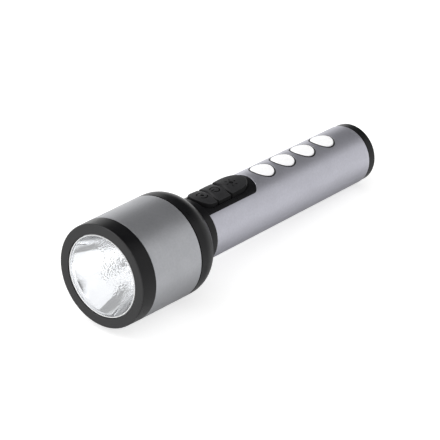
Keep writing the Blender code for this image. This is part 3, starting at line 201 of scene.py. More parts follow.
class TorchShapes(bpy.types.PropertyGroup):
    """Small sizes and counts of the smooth pieces."""

    round_steps: IntProperty(
        name="Round steps", description="Faces round each turned piece",
        min=48, max=256, default=144)
    edge_round: FloatProperty(
        name="Edge round", description="Radius of the small rounds on moulded and turned edges",
        subtype="DISTANCE", unit="LENGTH", min=0.02 * MM, max=0.4 * MM, default=0.15 * MM)
    bezel_round: FloatProperty(
        name="Bezel round", description="Radius of the bezel's outer edge",
        subtype="DISTANCE", unit="LENGTH", min=0.1 * MM, max=1.5 * MM, default=0.7 * MM)
    key_slope: FloatProperty(
        name="Key slope", description="Width of the sloped edge along the sides of the keys",
        subtype="DISTANCE", unit="LENGTH", min=0.1 * MM, max=1.5 * MM, default=0.2 * MM)
    key_tail_slope: FloatProperty(
        name="Key tail slope", description="Width of the sloped edge round the tail of the rear key",
        subtype="DISTANCE", unit="LENGTH", min=0.3 * MM, max=2.5 * MM, default=0.7 * MM)
    split_skew: FloatProperty(
        name="Split skew", description="How far the splits between the keys run aslant, along per across",
        min=0.0, max=0.3, default=0.15)
    icon_depth: FloatProperty(
        name="Icon depth", description="Depth of the signs sunk into the keys",
        subtype="DISTANCE", unit="LENGTH", min=0.02 * MM, max=0.4 * MM, default=0.32 * MM)
    lens_round: FloatProperty(
        name="Lens round", description="Radius of the rounded rim of the side lamps' lenses",
        subtype="DISTANCE", unit="LENGTH", min=0.05 * MM, max=1.0 * MM, default=0.4 * MM)
    lens_swell: FloatProperty(
        name="Lens swell", description="How far the side lamps' lenses swell above their moulded height",
        subtype="DISTANCE", unit="LENGTH", min=0.0, max=0.6 * MM, default=0.03 * MM)
    lens_curve: FloatProperty(
        name="Lens curve", description="Radius of the curve across the side lamps' lenses",
        subtype="DISTANCE", unit="LENGTH", min=12.0 * MM, max=80.0 * MM, default=16.0 * MM)
    bowl_waves: IntProperty(
        name="Bowl waves", description="Swept waves round the reflector",
        min=0, max=36, default=5)
    wave_depth: FloatProperty(
        name="Wave depth", description="Height of the waves in the reflector",
        subtype="DISTANCE", unit="LENGTH", min=0.0, max=0.5 * MM, default=0.03 * MM)
    cut_edge: FloatProperty(
        name="Cut edge", description="Width of the broken edge along cuts in the sleeves",
        subtype="DISTANCE", unit="LENGTH", min=0.02 * MM, max=0.3 * MM, default=0.06 * MM)


class TorchStudio(bpy.types.PropertyGroup):
    """Light and camera of the plain studio."""

    azimuth: FloatProperty(
        name="Camera azimuth", description="Direction the camera stands in",
        subtype="ANGLE", unit="ROTATION", default=math.radians(-51.8851))
    elevation: FloatProperty(
        name="Camera elevation", description="Height of the camera above the horizon",
        subtype="ANGLE", unit="ROTATION", default=math.radians(29.9293))
    roll: FloatProperty(
        name="Camera roll", description="Small turn of the camera about its line of sight",
        subtype="ANGLE", unit="ROTATION", default=math.radians(-1.7212))
    distance: FloatProperty(
        name="Camera distance", description="Distance from the camera to the point it looks at",
        subtype="DISTANCE", unit="LENGTH", min=0.1, max=5.0, default=0.897)
    focal: FloatProperty(
        name="Focal length", description="Focal length of the camera in millimetres",
        min=20.0, max=400.0, default=163.6)
    around: FloatProperty(
        name="Surrounding light", description="Strength of the white surroundings",
        min=0.0, max=3.0, default=0.95)
    front: FloatProperty(
        name="Front light", description="Strength of the surroundings in front of the torch's lens",
        min=0.0, max=3.0, default=1.5)
    near_side: FloatProperty(
        name="Near side", description="Strength of the surroundings that the reflector mirrors as grey",
        min=0.0, max=3.0, default=0.45)
    dark_side: FloatProperty(
        name="Dark side", description="Strength of the surroundings high behind the torch's tail",
        min=0.0, max=3.0, default=0.10)
    softbox: FloatProperty(
        name="Softbox", description="Power of the large soft lamp",
        subtype="POWER", unit="POWER", min=0.0, max=200.0, default=2.0)


AIM_POINT = TORCH @ Vector((41.387 * MM, -33.048 * MM, 26.35 * MM))
DARK_SIDE_WAY = Vector((0.683, 0.189, 0.706)).normalized()
DARK_SIDE_REACH = math.radians(44.0)


# Profiles and outlines

def rounded(corners, closed=True):
    """Corner points (a, b, radius) with each corner rounded, as (a, b, wear) points."""
    points = []
    count = len(corners)
    for i, (a, b, radius) in enumerate(corners):
        here = Vector((a, b))
        inner = closed or 0 < i < count - 1
        if radius <= 0.0 or not inner:
            points.append((a, b, 0.0))
            continue
        back = Vector(corners[i - 1][:2]) - here
        ahead = Vector(corners[(i + 1) % count][:2]) - here
        turn = math.pi - back.angle(ahead)
        reach = min(radius * math.tan(turn / 2), 0.45 * back.length, 0.45 * ahead.length)
        radius = reach / math.tan(turn / 2)
        start = here + back.normalized() * reach
        centre = here + (back.normalized() + ahead.normalized()).normalized() * radius / math.cos(turn / 2)
        arm = start - centre
        way = 1.0 if back.cross(ahead) < 0.0 else -1.0
        steps = max(3, round(math.degrees(turn) / 15.0))
        for k in range(steps + 1):
            spin = Matrix.Rotation(way * turn * k / steps, 2)
            place = centre + spin @ arm
            points.append((place.x, place.y, math.sin(math.pi * k / steps)))
    return points


def inside(point, loop):
    """Whether a plan point lies inside a closed loop."""
    x, y = point
    found = False
    for (ax, ay), (bx, by) in zip(loop, loop[1:] + loop[:1]):
        if (ay > y) != (by > y) and x < (bx - ax) * (y - ay) / (by - ay) + ax:
            found = not found
    return found


def circle(centre, radius, steps=72):
    return [(centre[0] + radius * math.cos(2 * math.pi * i / steps),
             centre[1] + radius * math.sin(2 * math.pi * i / steps)) for i in range(steps)]


def inset(outline, distances):
    """A convex outline moved inwards; distances holds one distance per edge, from point i to i + 1."""
    count = len(outline)
    middle = sum((Vector(p) for p in outline), Vector((0.0, 0.0))) / count
    result = []
    for i in range(count):
        before, here, after = Vector(outline[i - 1]), Vector(outline[i]), Vector(outline[(i + 1) % count])
        normals = []
        for start, end in ((before, here), (here, after)):
            normal = (end - start).orthogonal().normalized()
            normals.append(normal if normal.dot(middle - start) > 0.0 else -normal)
        first, second = distances[i - 1], distances[i]
        slant = normals[0].cross(normals[1])
        if abs(slant) < 0.02:
            place = here + (normals[0] + normals[1]).normalized() * (first + second) / 2
        else:
            across = Vector((first * normals[1].y - second * normals[0].y,
                             second * normals[0].x - first * normals[1].x))
            place = here + across / slant
        result.append((place.x, place.y))
    return result


def notch_outline(shrink, front):
    """The tongue-shaped notch in the handle, open towards the head."""
    half = NOTCH_HALF_WIDTH - shrink
    reach = NOTCH_ROUND_LENGTH - shrink
    steps = 48
    angles = [math.pi / 2 * (1 - 2 * i / steps) for i in range(steps + 1)]
    bend = [(NOTCH_STRAIGHT_END + reach * math.cos(a), -half * math.sin(a)) for a in angles]
    return [(front, -half)] + bend + [(front, half)]


def pad_outline(grow, steps=28, nose_gap=0.0):
    """The outline of all three keys together."""
    nose = (KEY_NOSE + KEY_NOSE_LENGTH, KEY_NOSE_LENGTH - nose_gap + grow, -1.0)
    tail = (KEY_TAIL - KEY_TAIL_LENGTH, KEY_TAIL_LENGTH + grow, 1.0)
    points = []
    for centre, length, way in (tail, nose):
        for i in range(steps + 1):
            angle = math.pi * i / steps
            points.append((centre + way * length * math.sin(angle),
                           -way * (KEY_HALF_WIDTH + grow) * math.cos(angle)))
    return points


# Meshes, made in the torch's own frame

def new_bmesh():
    bm = bmesh.new()
    bm.verts.layers.float.new("worn_edge")
    bm.faces.layers.int.new("round_side")
    bm.faces.layers.int.new("finish")
    return bm


def around(x, angle, radius):
    return Vector((x, radius * math.sin(angle), radius * math.cos(angle)))


def lifted(x, y, radius):
    """The point of a tube straight above a plan point."""
    return Vector((x, y, math.sqrt(max(0.0, radius * radius - y * y))))


def put_ring(bm, places, wear=0.0):
    layer = bm.verts.layers.float["worn_edge"]
    ring = [bm.verts.new(place) for place in places]
    for vert in ring:
        vert[layer] = wear
    return ring


def band(bm, low, high, closed=True):
    """A strip of faces between two rings of vertices."""
    count = len(low)
    for i in range(count if closed else count - 1):
        k = (i + 1) % count
        bm.faces.new((low[i], low[k], high[k], high[i]))


def cap_ring(bm, ring, centre):
    point = bm.verts.new(centre)
    for i in range(len(ring)):
        bm.faces.new((ring[i - 1], ring[i], point))


def add_turned(bm, profile, steps, wave=None, centre=None, upright=False):
    """A closed profile of (place, radius, wear) turned about the axis, or about an upright line."""
    rings = []
    for place, radius, wear in profile:
        if radius < 1e-9:
            rings.append(None)
            continue
        points = []
        for i in range(steps):
            angle = 2 * math.pi * i / steps
            r = radius + (wave(place, radius, angle) if wave else 0.0)
            if upright:
                x, y = centre
                points.append(Vector((x + r * math.sin(angle), y + r * math.cos(angle), place)))
            else:
                points.append(around(place, angle, r))
        rings.append(put_ring(bm, points, wear))
    for i in range(len(profile)):
        low, high = rings[i - 1], rings[i]
        if low and high:
            band(bm, low, high)
        elif low or high:
            at = profile[i][0] if high is None else profile[i - 1][0]
            tip = Vector((centre[0], centre[1], at)) if upright else Vector((at, 0.0, 0.0))
            cap_ring(bm, low or high, tip)


def divided(points, edges):
    """Plan points joined into triangles that keep the edges, as (places, faces)."""
    result = delaunay_2d_cdt(points, edges, [], 0, 1e-8)
    return result[0], result[2]


def tube_skin(bm, radius, loops, allowed, side, step=2.4 * MM, turn=math.radians(3.0)):
    """Small triangles over the part of a tube that allowed() accepts; loops are (x, angle) points."""
    points = []
    edges = []
    for loop in loops:
        first = len(points)
        points += [Vector((x, angle * radius)) for x, angle in loop]
        edges += [(first + i, first + (i + 1) % len(loop)) for i in range(len(loop))]
    low = min(x for x, angle in loops[0])
    high = max(x for x, angle in loops[0])
    limit = max(angle for x, angle in loops[0])
    columns = max(1, round((high - low) / step))
    rows = max(1, round(2 * limit / turn))
    for i in range(1, columns):
        x = low + (high - low) * i / columns
        for k in range(1, rows):
            angle = limit * (2 * k / rows - 1)
            if allowed(x, angle):
                points.append(Vector((x, angle * radius)))
    places, faces = divided(points, edges)
    verts = [bm.verts.new(around(p.x, p.y / radius, radius)) for p in places]
    layer = bm.faces.layers.int["round_side"]
    for face in faces:
        x = sum(places[i].x for i in face) / len(face)
        angle = sum(places[i].y for i in face) / len(face) / radius
        if allowed(x, angle):
            bm.faces.new([verts[i] for i in face])[layer] = side


def plan_to_tube(outline, radius):
    return [(x, math.asin(max(-1.0, min(1.0, y / radius)))) for x, y in outline]


def in_cut(x, angle, radius, cuts):
    if math.cos(angle) <= 0.0:
        return False
    y = radius * math.sin(angle)
    return any(inside((x, y), cut) for cut in cuts)


def end_chain(x, radius, steps, notch=None):
    """One end of a tube as (x, angle) points from -180 to 180 degrees, round the notch if it has one."""
    if not notch:
        return [(x, math.pi * (2 * i / steps - 1)) for i in range(steps + 1)]
    middle = plan_to_tube(notch, radius)
    half = steps // 2
    opening = middle[-1][1]
    far = [(x, -math.pi + (math.pi - opening) * i / half) for i in range(half)]
    near = [(x, opening + (math.pi - opening) * i / half) for i in range(1, half + 1)]
    return far + middle + near


def add_cut_tube(bm, ends, outer, inner, notch, holes, edge, steps):
    """A tube with a notch open to the front and round holes, cut straight down, with broken edges.

    notch and holes are functions of a growth that give plan outlines.
    """
    levels = []
    for radius, grow in ((outer, edge), (outer - edge, 0.0), (inner, 0.0)):
        front = end_chain(ends[0] + grow, radius, steps, notch(grow, ends[0] + grow))
        back = end_chain(ends[1] - grow, radius, steps)
        rounds = [plan_to_tube(hole(grow), radius) for hole in holes]
        levels.append((radius, grow, front, back, rounds))
    for upper, lower in zip(levels, levels[1:]):
        wears = [1.0 if level[1] > 0.0 or level[0] == outer - edge else 0.0 for level in (upper, lower)]
        pairs = [(upper[2], lower[2], False), (upper[3], lower[3], False)]
        pairs += [(a, b, True) for a, b in zip(upper[4], lower[4])]
        for above, below, closed in pairs:
            band(bm, put_ring(bm, [around(x, a, upper[0]) for x, a in above], wears[0]),
                 put_ring(bm, [around(x, a, lower[0]) for x, a in below], wears[1]), closed)
    for (radius, grow, front, back, rounds), side in ((levels[0], 1), (levels[-1], -1)):
        cuts = [notch(grow, ends[0] - FIT)] + [hole(grow) for hole in holes]
        start, end = ends[0] + grow, ends[1] - grow
        stations = [start + (end - start) * i / 52 for i in range(1, 52)]
        rim = front + [(x, math.pi) for x in stations] + back[::-1]
        rim += [(x, -math.pi) for x in reversed(stations)]
        tube_skin(bm, radius, [rim] + rounds,
                  lambda x, a, r=radius, c=cuts: not in_cut(x, a, r, c), side)


def add_wrapped_plate(bm, outline, hole, outer, inner, edge):
    """A plate bent round the tube, with one hole; outline and hole are functions of a growth."""
    levels = [(outer, edge), (outer - edge, 0.0), (inner, 0.0)]
    for (above, upper_grow), (below, lower_grow) in zip(levels, levels[1:]):
        for shape, way in ((outline, -1.0), (hole, 1.0)):
            top = put_ring(bm, [lifted(x, y, above) for x, y in shape(way * upper_grow)], 1.0)
            low = put_ring(bm, [lifted(x, y, below) for x, y in shape(way * lower_grow)], 0.5)
            band(bm, top, low)
    for (radius, grow), side in ((levels[0], 1), (levels[-1], -1)):
        rim = outline(-grow)
        gap = hole(grow)
        tube_skin(bm, radius, [plan_to_tube(rim, radius), plan_to_tube(gap, radius)],
                  lambda x, a, r=radius, o=rim, g=gap: in_cut(x, a, r, [o]) and not in_cut(x, a, r, [g]),
                  side, 1.0 * MM, math.radians(3.0))


def add_thread(bm, root_radius, way, start, steps=72):
    """A right-handed helical ridge that runs out at both ends; way is 1 outwards and -1 inwards."""
    rings = []
    soft = 0.06 * MM
    total = int(THREAD_TURNS * steps)
    for i in range(total + 1):
        turn = 2 * math.pi * i / steps
        fade = min(1.0, min(i, total - i) / (steps / 10.0))
        x = start + THREAD_PITCH * i / steps
        root = root_radius - way * THREAD_ROOT
        crest = root_radius + way * THREAD_HEIGHT * fade
        corners = [(-THREAD_BASE / 2, root), (-THREAD_CREST / 2, crest - way * soft),
                   (-THREAD_CREST / 2 + soft, crest), (THREAD_CREST / 2 - soft, crest),
                   (THREAD_CREST / 2, crest - way * soft), (THREAD_BASE / 2, root)]
        rings.append(put_ring(bm, [(x + a, -r * math.sin(turn), r * math.cos(turn)) for a, r in corners]))
    for low, high in zip(rings, rings[1:]):
        band(bm, low, high)
    bm.faces.new(rings[0])
    bm.faces.new(rings[-1][::-1])


def mesh_from(bm, name, sharp=30.0, round_normals=False):
    """The finished mesh in world coordinates; faces tagged round_side get a true tube's normals."""
    bmesh.ops.remove_doubles(bm, verts=bm.verts, dist=0.0008 * MM)
    bmesh.ops.delete(bm, geom=[v for v in bm.verts if not v.link_faces], context="VERTS")
    bmesh.ops.recalc_face_normals(bm, faces=bm.faces)
    mesh = bpy.data.meshes.new(name)
    bm.to_mesh(mesh)
    bm.free()
    mesh.shade_smooth()
    mesh.set_sharp_from_angle(angle=math.radians(sharp))
    if round_normals:
        sides = [item.value for item in mesh.attributes["round_side"].data]
        normals = [item.vector.copy() for item in mesh.corner_normals]
        for face in mesh.polygons:
            if sides[face.index]:
                for corner in face.loop_indices:
                    place = mesh.vertices[mesh.loops[corner].vertex_index].co
                    normals[corner] = Vector((0.0, place.y, place.z)).normalized() * sides[face.index]
        mesh.normals_split_custom_set(normals)
    for face, item in zip(mesh.polygons, mesh.attributes["finish"].data):
        face.material_index = item.value
    mesh.attributes.remove(mesh.attributes["round_side"])
    mesh.attributes.remove(mesh.attributes["finish"])
    mesh.transform(TORCH)
    return mesh


def place_piece(name, mesh, body, finishes, nodes=(), weighted=True):
    """Put one finished piece on its body, in place of the solids it stands for."""
    piece = bpy.data.objects.new(name, mesh)
    bpy.context.scene.collection.objects.link(piece)
    for name_of_finish in finishes:
        mesh.materials.append(finish(name_of_finish))
    if weighted:
        modifier = piece.modifiers.new("even_normals", "WEIGHTED_NORMAL")
        modifier.keep_sharp = True
        modifier.weight = 100
    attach(piece, body)
    if nodes:
        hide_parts(*nodes)
    return piece


def turned_piece(name, corners, body, finishes, nodes=(), steps=None, wave=None):
    """A turned piece; a second finish goes on the faces that look at the torch's front."""
    bm = new_bmesh()
    add_turned(bm, rounded(corners), steps or shapes().round_steps, wave)
    if len(finishes) > 1:
        layer = bm.faces.layers.int["finish"]
        bmesh.ops.recalc_face_normals(bm, faces=bm.faces)
        for face in bm.faces:
            face[layer] = int(face.normal.x < -0.6)
    return place_piece(name, mesh_from(bm, name), body, finishes, nodes)


def finishes_of():
    return bpy.context.scene.torch_finishes


def shapes():
    return bpy.context.scene.torch_shapes


# Shader node helpers and shared effects

def add_node(tree, kind, inputs=None, **settings):
    """One shader node; an input is a value or another node's output."""
    item = tree.nodes.new(kind)
    for name, value in settings.items():
        setattr(item, name, value)
    for name, value in (inputs or {}).items():
        if isinstance(value, bpy.types.NodeSocket):
            tree.links.new(value, item.inputs[name])
        else:
            item.inputs[name].default_value = value
    return item


def maths(tree, operation, first, second=0.0, third=None):
    inputs = {0: first, 1: second}
    if third is not None:
        inputs[2] = third
    return add_node(tree, "ShaderNodeMath", inputs, operation=operation).outputs[0]


def spread(tree, value, low, high, to_low=0.0, to_high=1.0):
    """Stretch one range of a value onto another, held at its ends."""
    inputs = {0: value, 1: low, 2: high, 3: to_low, 4: to_high}
    return add_node(tree, "ShaderNodeMapRange", inputs).outputs[0]


def mixed(tree, share, first, second):
    """Two colours mixed by a share."""
    item = add_node(tree, "ShaderNodeMix", data_type="RGBA")
    for socket, value in ((item.inputs[0], share), (item.inputs[6], first), (item.inputs[7], second)):
        if isinstance(value, bpy.types.NodeSocket):
            tree.links.new(value, socket)
        else:
            socket.default_value = value
    return item.outputs[2]


def torch_space(tree, stretch=(1.0, 1.0, 1.0)):
    """The surface's place in the torch's own frame, in metres, stretched along each axis."""
    place = add_node(tree, "ShaderNodeTexCoord").outputs["Object"]
    local = add_node(tree, "ShaderNodeMapping", {
        "Vector": place,
        "Location": TORCH.to_translation(),
        "Rotation": TORCH.to_euler(),
    }, vector_type="TEXTURE").outputs[0]
    return add_node(tree, "ShaderNodeVectorMath", {0: local, 1: stretch}, operation="MULTIPLY").outputs[0]


def effect(name, inputs, outputs, build):
    """A shared shader group, built once; build gets the tree and its input sockets, and gives the outputs to
    link by name.
    """
    tree = bpy.data.node_groups.get(name)
    if tree:
        return tree
    tree = bpy.data.node_groups.new(name, "ShaderNodeTree")
    for socket, default in inputs.items():
        item = tree.interface.new_socket(name=socket, in_out="INPUT", socket_type="NodeSocketFloat")
        item.default_value = default
    for socket, kind in outputs.items():
        tree.interface.new_socket(name=socket, in_out="OUTPUT", socket_type=kind)
    source = tree.nodes.new("NodeGroupInput")
    target = tree.nodes.new("NodeGroupOutput")
    for socket, value in build(tree, source.outputs).items():
        tree.links.new(value, target.inputs[socket])
    return tree


def use_effect(tree, group, **values):
    """Place a shared effect in a material with its own values."""
    item = tree.nodes.new("ShaderNodeGroup")
    item.node_tree = group
    for name, value in values.items():
        socket = item.inputs[name.replace("_", " ").capitalize()]
        if isinstance(value, bpy.types.NodeSocket):
            tree.links.new(value, socket)
        else:
            socket.default_value = value
    return item.outputs


def fine_grain():
    """Two sizes of even grain, as on blasted metal or moulded plastic."""
    def build(tree, given):
        space = torch_space(tree)
        scale = maths(tree, "DIVIDE", 1.0, given["Grain size"])
        small = add_node(tree, "ShaderNodeTexNoise", {"Vector": space, "Scale": scale, "Detail": 3.0,
                                                      "Roughness": 0.6}).outputs[0]
        wide = maths(tree, "MULTIPLY", scale, 0.11)
        large = add_node(tree, "ShaderNodeTexNoise", {"Vector": space, "Scale": wide, "Detail": 4.0,
                                                      "Roughness": 0.55}).outputs[0]
        return {"Height": maths(tree, "MULTIPLY_ADD", large, 0.6, small),
                "Tone": spread(tree, large, 0.3, 0.7)}
    return effect("Fine grain", {"Grain size": 0.2 * MM},
                  {"Height": "NodeSocketFloat", "Tone": "NodeSocketFloat"}, build)


def turning_lines():
    """Fine rings left round the axis by a lathe."""
    def build(tree, given):
        space = torch_space(tree)
        along = add_node(tree, "ShaderNodeSeparateXYZ", {0: space}).outputs[0]
        place = maths(tree, "DIVIDE", along, given["Pitch"])
        fine = add_node(tree, "ShaderNodeTexNoise", {"W": place, "Scale": 1.0, "Detail": 5.0,
                                                     "Roughness": 0.7}, noise_dimensions="1D").outputs[0]
        return {"Height": fine, "Tone": spread(tree, fine, 0.35, 0.65)}
    return effect("Turning lines", {"Pitch": 0.25 * MM},
                  {"Height": "NodeSocketFloat", "Tone": "NodeSocketFloat"}, build)


def handling_marks():
    """Soft smudges from hands, and a few fine scratches along the torch."""
    def build(tree, given):
        cloudy = add_node(tree, "ShaderNodeTexNoise", {
            "Vector": torch_space(tree, (0.7, 1.0, 1.0)), "Scale": 90.0, "Detail": 5.0,
            "Distortion": 0.8}).outputs[0]
        smudge = maths(tree, "MULTIPLY", spread(tree, cloudy, 0.48, 0.70), given["Smudges"])
        drawn = add_node(tree, "ShaderNodeTexNoise", {
            "Vector": torch_space(tree, (60.0, 2600.0, 2600.0)), "Scale": 1.0, "Detail": 2.0}).outputs[0]
        where = add_node(tree, "ShaderNodeTexNoise", {
            "Vector": torch_space(tree), "Scale": 140.0, "Detail": 1.0}).outputs[0]
        lines = maths(tree, "MULTIPLY", spread(tree, drawn, 0.70, 0.74), spread(tree, where, 0.52, 0.62))
        return {"Smudge": smudge, "Scratch": maths(tree, "MULTIPLY", lines, given["Scratches"])}
    return effect("Handling marks", {"Smudges": 1.0, "Scratches": 1.0},
                  {"Smudge": "NodeSocketFloat", "Scratch": "NodeSocketFloat"}, build)


def worn_edges():
    """Broken wear along the edges that the mesh marks."""
    def build(tree, given):
        edge = add_node(tree, "ShaderNodeAttribute", attribute_name="worn_edge").outputs["Fac"]
        patchy = add_node(tree, "ShaderNodeTexNoise", {
            "Vector": torch_space(tree), "Scale": 420.0, "Detail": 6.0, "Roughness": 0.7}).outputs[0]
        rubbed = maths(tree, "MULTIPLY", edge, spread(tree, patchy, 0.40, 0.66))
        return {"Wear": maths(tree, "MULTIPLY", rubbed, given["Amount"])}
    return effect("Worn edges", {"Amount": 0.5}, {"Wear": "NodeSocketFloat"}, build)


def settled_dust():
    """Light dust on faces that look up."""
    def build(tree, given):
        normal = add_node(tree, "ShaderNodeNewGeometry").outputs["Normal"]
        rise = add_node(tree, "ShaderNodeSeparateXYZ", {0: normal}).outputs[2]
        specks = add_node(tree, "ShaderNodeTexNoise", {
            "Vector": torch_space(tree), "Scale": 2600.0, "Detail": 2.0}).outputs[0]
        haze = add_node(tree, "ShaderNodeTexNoise", {
            "Vector": torch_space(tree), "Scale": 60.0, "Detail": 3.0}).outputs[0]
        mask = maths(tree, "MULTIPLY", spread(tree, specks, 0.60, 0.74), spread(tree, haze, 0.35, 0.7))
        mask = maths(tree, "MULTIPLY", mask, spread(tree, rise, 0.2, 1.0))
        return {"Dust": maths(tree, "MULTIPLY", mask, given["Amount"])}
    return effect("Settled dust", {"Amount": 0.3}, {"Dust": "NodeSocketFloat"}, build)


def colour(values, lift=1.0):
    return (*[min(1.0, v * lift) for v in values], 1.0)


def new_material(name):
    """An empty material; gives it, its tree and its Principled shader."""
    material = bpy.data.materials.new(name)
    material.use_nodes = True
    return material, material.node_tree, material.node_tree.nodes["Principled BSDF"]


def set_surface(tree, shader, base=None, rough=None, height=None, depth=0.02 * MM, **plain):
    """Link what varies over the surface and set the shader's plain values."""
    for name, value in (("Base Color", base), ("Roughness", rough)):
        if isinstance(value, bpy.types.NodeSocket):
            tree.links.new(value, shader.inputs[name])
        elif value is not None:
            shader.inputs[name].default_value = value
    if height is not None:
        bump = add_node(tree, "ShaderNodeBump", {"Height": height, "Distance": depth, "Strength": 1.0})
        tree.links.new(bump.outputs[0], shader.inputs["Normal"])
    for name, value in plain.items():
        shader.inputs[name.replace("_", " ").title().replace("Ior", "IOR")].default_value = value


def make_anodised(name, metal):
    """Satin grey anodised aluminium: blasted grain, faint turning rings, bare metal on worn edges."""
    material, tree, shader = new_material(name)
    grain = use_effect(tree, fine_grain(), grain_size=0.12 * MM)
    rings = use_effect(tree, turning_lines(), pitch=0.35 * MM)
    marks = use_effect(tree, handling_marks(), smudges=1.0, scratches=0.6)
    wear = use_effect(tree, worn_edges(), amount=0.35)["Wear"]
    dust = use_effect(tree, settled_dust(), amount=0.25)["Dust"]
    base = mixed(tree, grain["Tone"], colour(metal, 0.94), colour(metal, 1.05))
    base = mixed(tree, maths(tree, "MULTIPLY", marks["Smudge"], 0.25), base, colour(metal, 0.86))
    base = mixed(tree, maths(tree, "MULTIPLY", marks["Scratch"], 0.35), base, colour(metal, 1.35))
    base = mixed(tree, wear, base, colour((0.78, 0.78, 0.79)))
    base = mixed(tree, dust, base, colour((0.62, 0.61, 0.60)))
    rough = maths(tree, "MULTIPLY_ADD", grain["Tone"], 0.05, 0.36)
    rough = maths(tree, "MULTIPLY_ADD", marks["Smudge"], 0.06, rough)
    rough = maths(tree, "MULTIPLY_ADD", wear, -0.12, rough)
    height = maths(tree, "MULTIPLY_ADD", rings["Height"], 0.35, grain["Height"])
    set_surface(tree, shader, base, rough, height, 0.006 * MM, metallic=0.80)
    return material


def make_turned_metal(name):
    """Bare turned aluminium of the heat sink."""
    material, tree, shader = new_material(name)
    rings = use_effect(tree, turning_lines(), pitch=0.12 * MM)
    grain = use_effect(tree, fine_grain(), grain_size=0.3 * MM)
    marks = use_effect(tree, handling_marks(), smudges=1.0, scratches=1.0)
    base = mixed(tree, rings["Tone"], colour((0.56, 0.56, 0.57)), colour((0.70, 0.70, 0.71)))
    base = mixed(tree, marks["Scratch"], base, colour((0.85, 0.85, 0.86)))
    rough = maths(tree, "MULTIPLY_ADD", grain["Tone"], 0.12, 0.26)
    set_surface(tree, shader, base, rough, rings["Height"], 0.02 * MM, metallic=1.0)
    return material


def make_satin_plastic(name, shine=0.18, depth=1.0):
    """Moulded black plastic: a fine spark-eroded texture, greyed where it rubs; a depth below 1 darkens it
    as painted shade.
    """
    material, tree, shader = new_material(name)
    black = finishes_of().plastic
    grain = use_effect(tree, fine_grain(), grain_size=0.22 * MM)
    marks = use_effect(tree, handling_marks(), smudges=1.0, scratches=0.8)
    wear = use_effect(tree, worn_edges(), amount=0.25)["Wear"]
    dust = use_effect(tree, settled_dust(), amount=0.12)["Dust"]
    # A depth below 1 darkens the black as painted shade, used in the groove behind the head's sleeve.
    base = mixed(tree, grain["Tone"], colour(black, 0.85 * depth), colour(black, 1.15 * depth))
    base = mixed(tree, maths(tree, "MULTIPLY", marks["Scratch"], 0.3), base, colour((0.05, 0.05, 0.053)))
    base = mixed(tree, wear, base, colour((0.05, 0.05, 0.053)))
    base = mixed(tree, dust, base, colour((0.22, 0.21, 0.20)))
    rough = maths(tree, "MULTIPLY_ADD", grain["Tone"], 0.05, 0.27)
    rough = maths(tree, "MULTIPLY_ADD", marks["Smudge"], 0.10, rough)
    rough = maths(tree, "MULTIPLY_ADD", wear, -0.08, rough)
    set_surface(tree, shader, base, rough, grain["Height"], 0.012 * MM, IOR=1.53)
    shader.inputs["Specular IOR Level"].default_value = shine
    return material


def make_bezel_plastic(name):
    """The same plastic on the bezel's face, polished a little by use."""
    return make_satin_plastic(name, shine=0.38)


def make_recess_painted_shade(name):
    """The same plastic in the groove behind the head's sleeve: dull, and painted dark as the shade that
    falls in the groove.
    """
    return make_satin_plastic(name, shine=0.02, depth=0.3)


def make_key_rubber(name):
    """Matt silicone rubber of the keys."""
    material, tree, shader = new_material(name)
    black = finishes_of().rubber
    grain = use_effect(tree, fine_grain(), grain_size=0.16 * MM)
    marks = use_effect(tree, handling_marks(), smudges=1.0, scratches=0.3)
    wear = use_effect(tree, worn_edges(), amount=0.12)["Wear"]
    dust = use_effect(tree, settled_dust(), amount=0.15)["Dust"]
    base = mixed(tree, grain["Tone"], colour(black, 0.85), colour(black, 1.2))
    base = mixed(tree, wear, base, colour((0.075, 0.075, 0.08)))
    base = mixed(tree, dust, base, colour((0.20, 0.19, 0.18)))
    rough = maths(tree, "MULTIPLY_ADD", grain["Tone"], 0.08, 0.52)
    rough = maths(tree, "MULTIPLY_ADD", marks["Smudge"], -0.10, rough)
    set_surface(tree, shader, base, rough, grain["Height"], 0.014 * MM, IOR=1.42)
    shader.inputs["Specular IOR Level"].default_value = 0.3
    return material


def make_key_wall_painted_shade(name):
    """The same rubber on the keys' sides and in their signs: left dull by the mould, and painted much darker
    as the shade that falls in the gaps between keys and in the sunk signs.
    """
    material, tree, shader = new_material(name)
    black = finishes_of().rubber
    grain = use_effect(tree, fine_grain(), grain_size=0.16 * MM)
    dust = use_effect(tree, settled_dust(), amount=0.1)["Dust"]
    # Painted shade: the rubber's colour cut to between a fifth and a third.
    base = mixed(tree, grain["Tone"], colour(black, 0.2), colour(black, 0.35))
    base = mixed(tree, dust, base, colour((0.10, 0.095, 0.09)))
    rough = maths(tree, "MULTIPLY_ADD", grain["Tone"], 0.08, 0.7)
    set_surface(tree, shader, base, rough, grain["Height"], 0.014 * MM, IOR=1.42)
    shader.inputs["Specular IOR Level"].default_value = 0.15
    return material


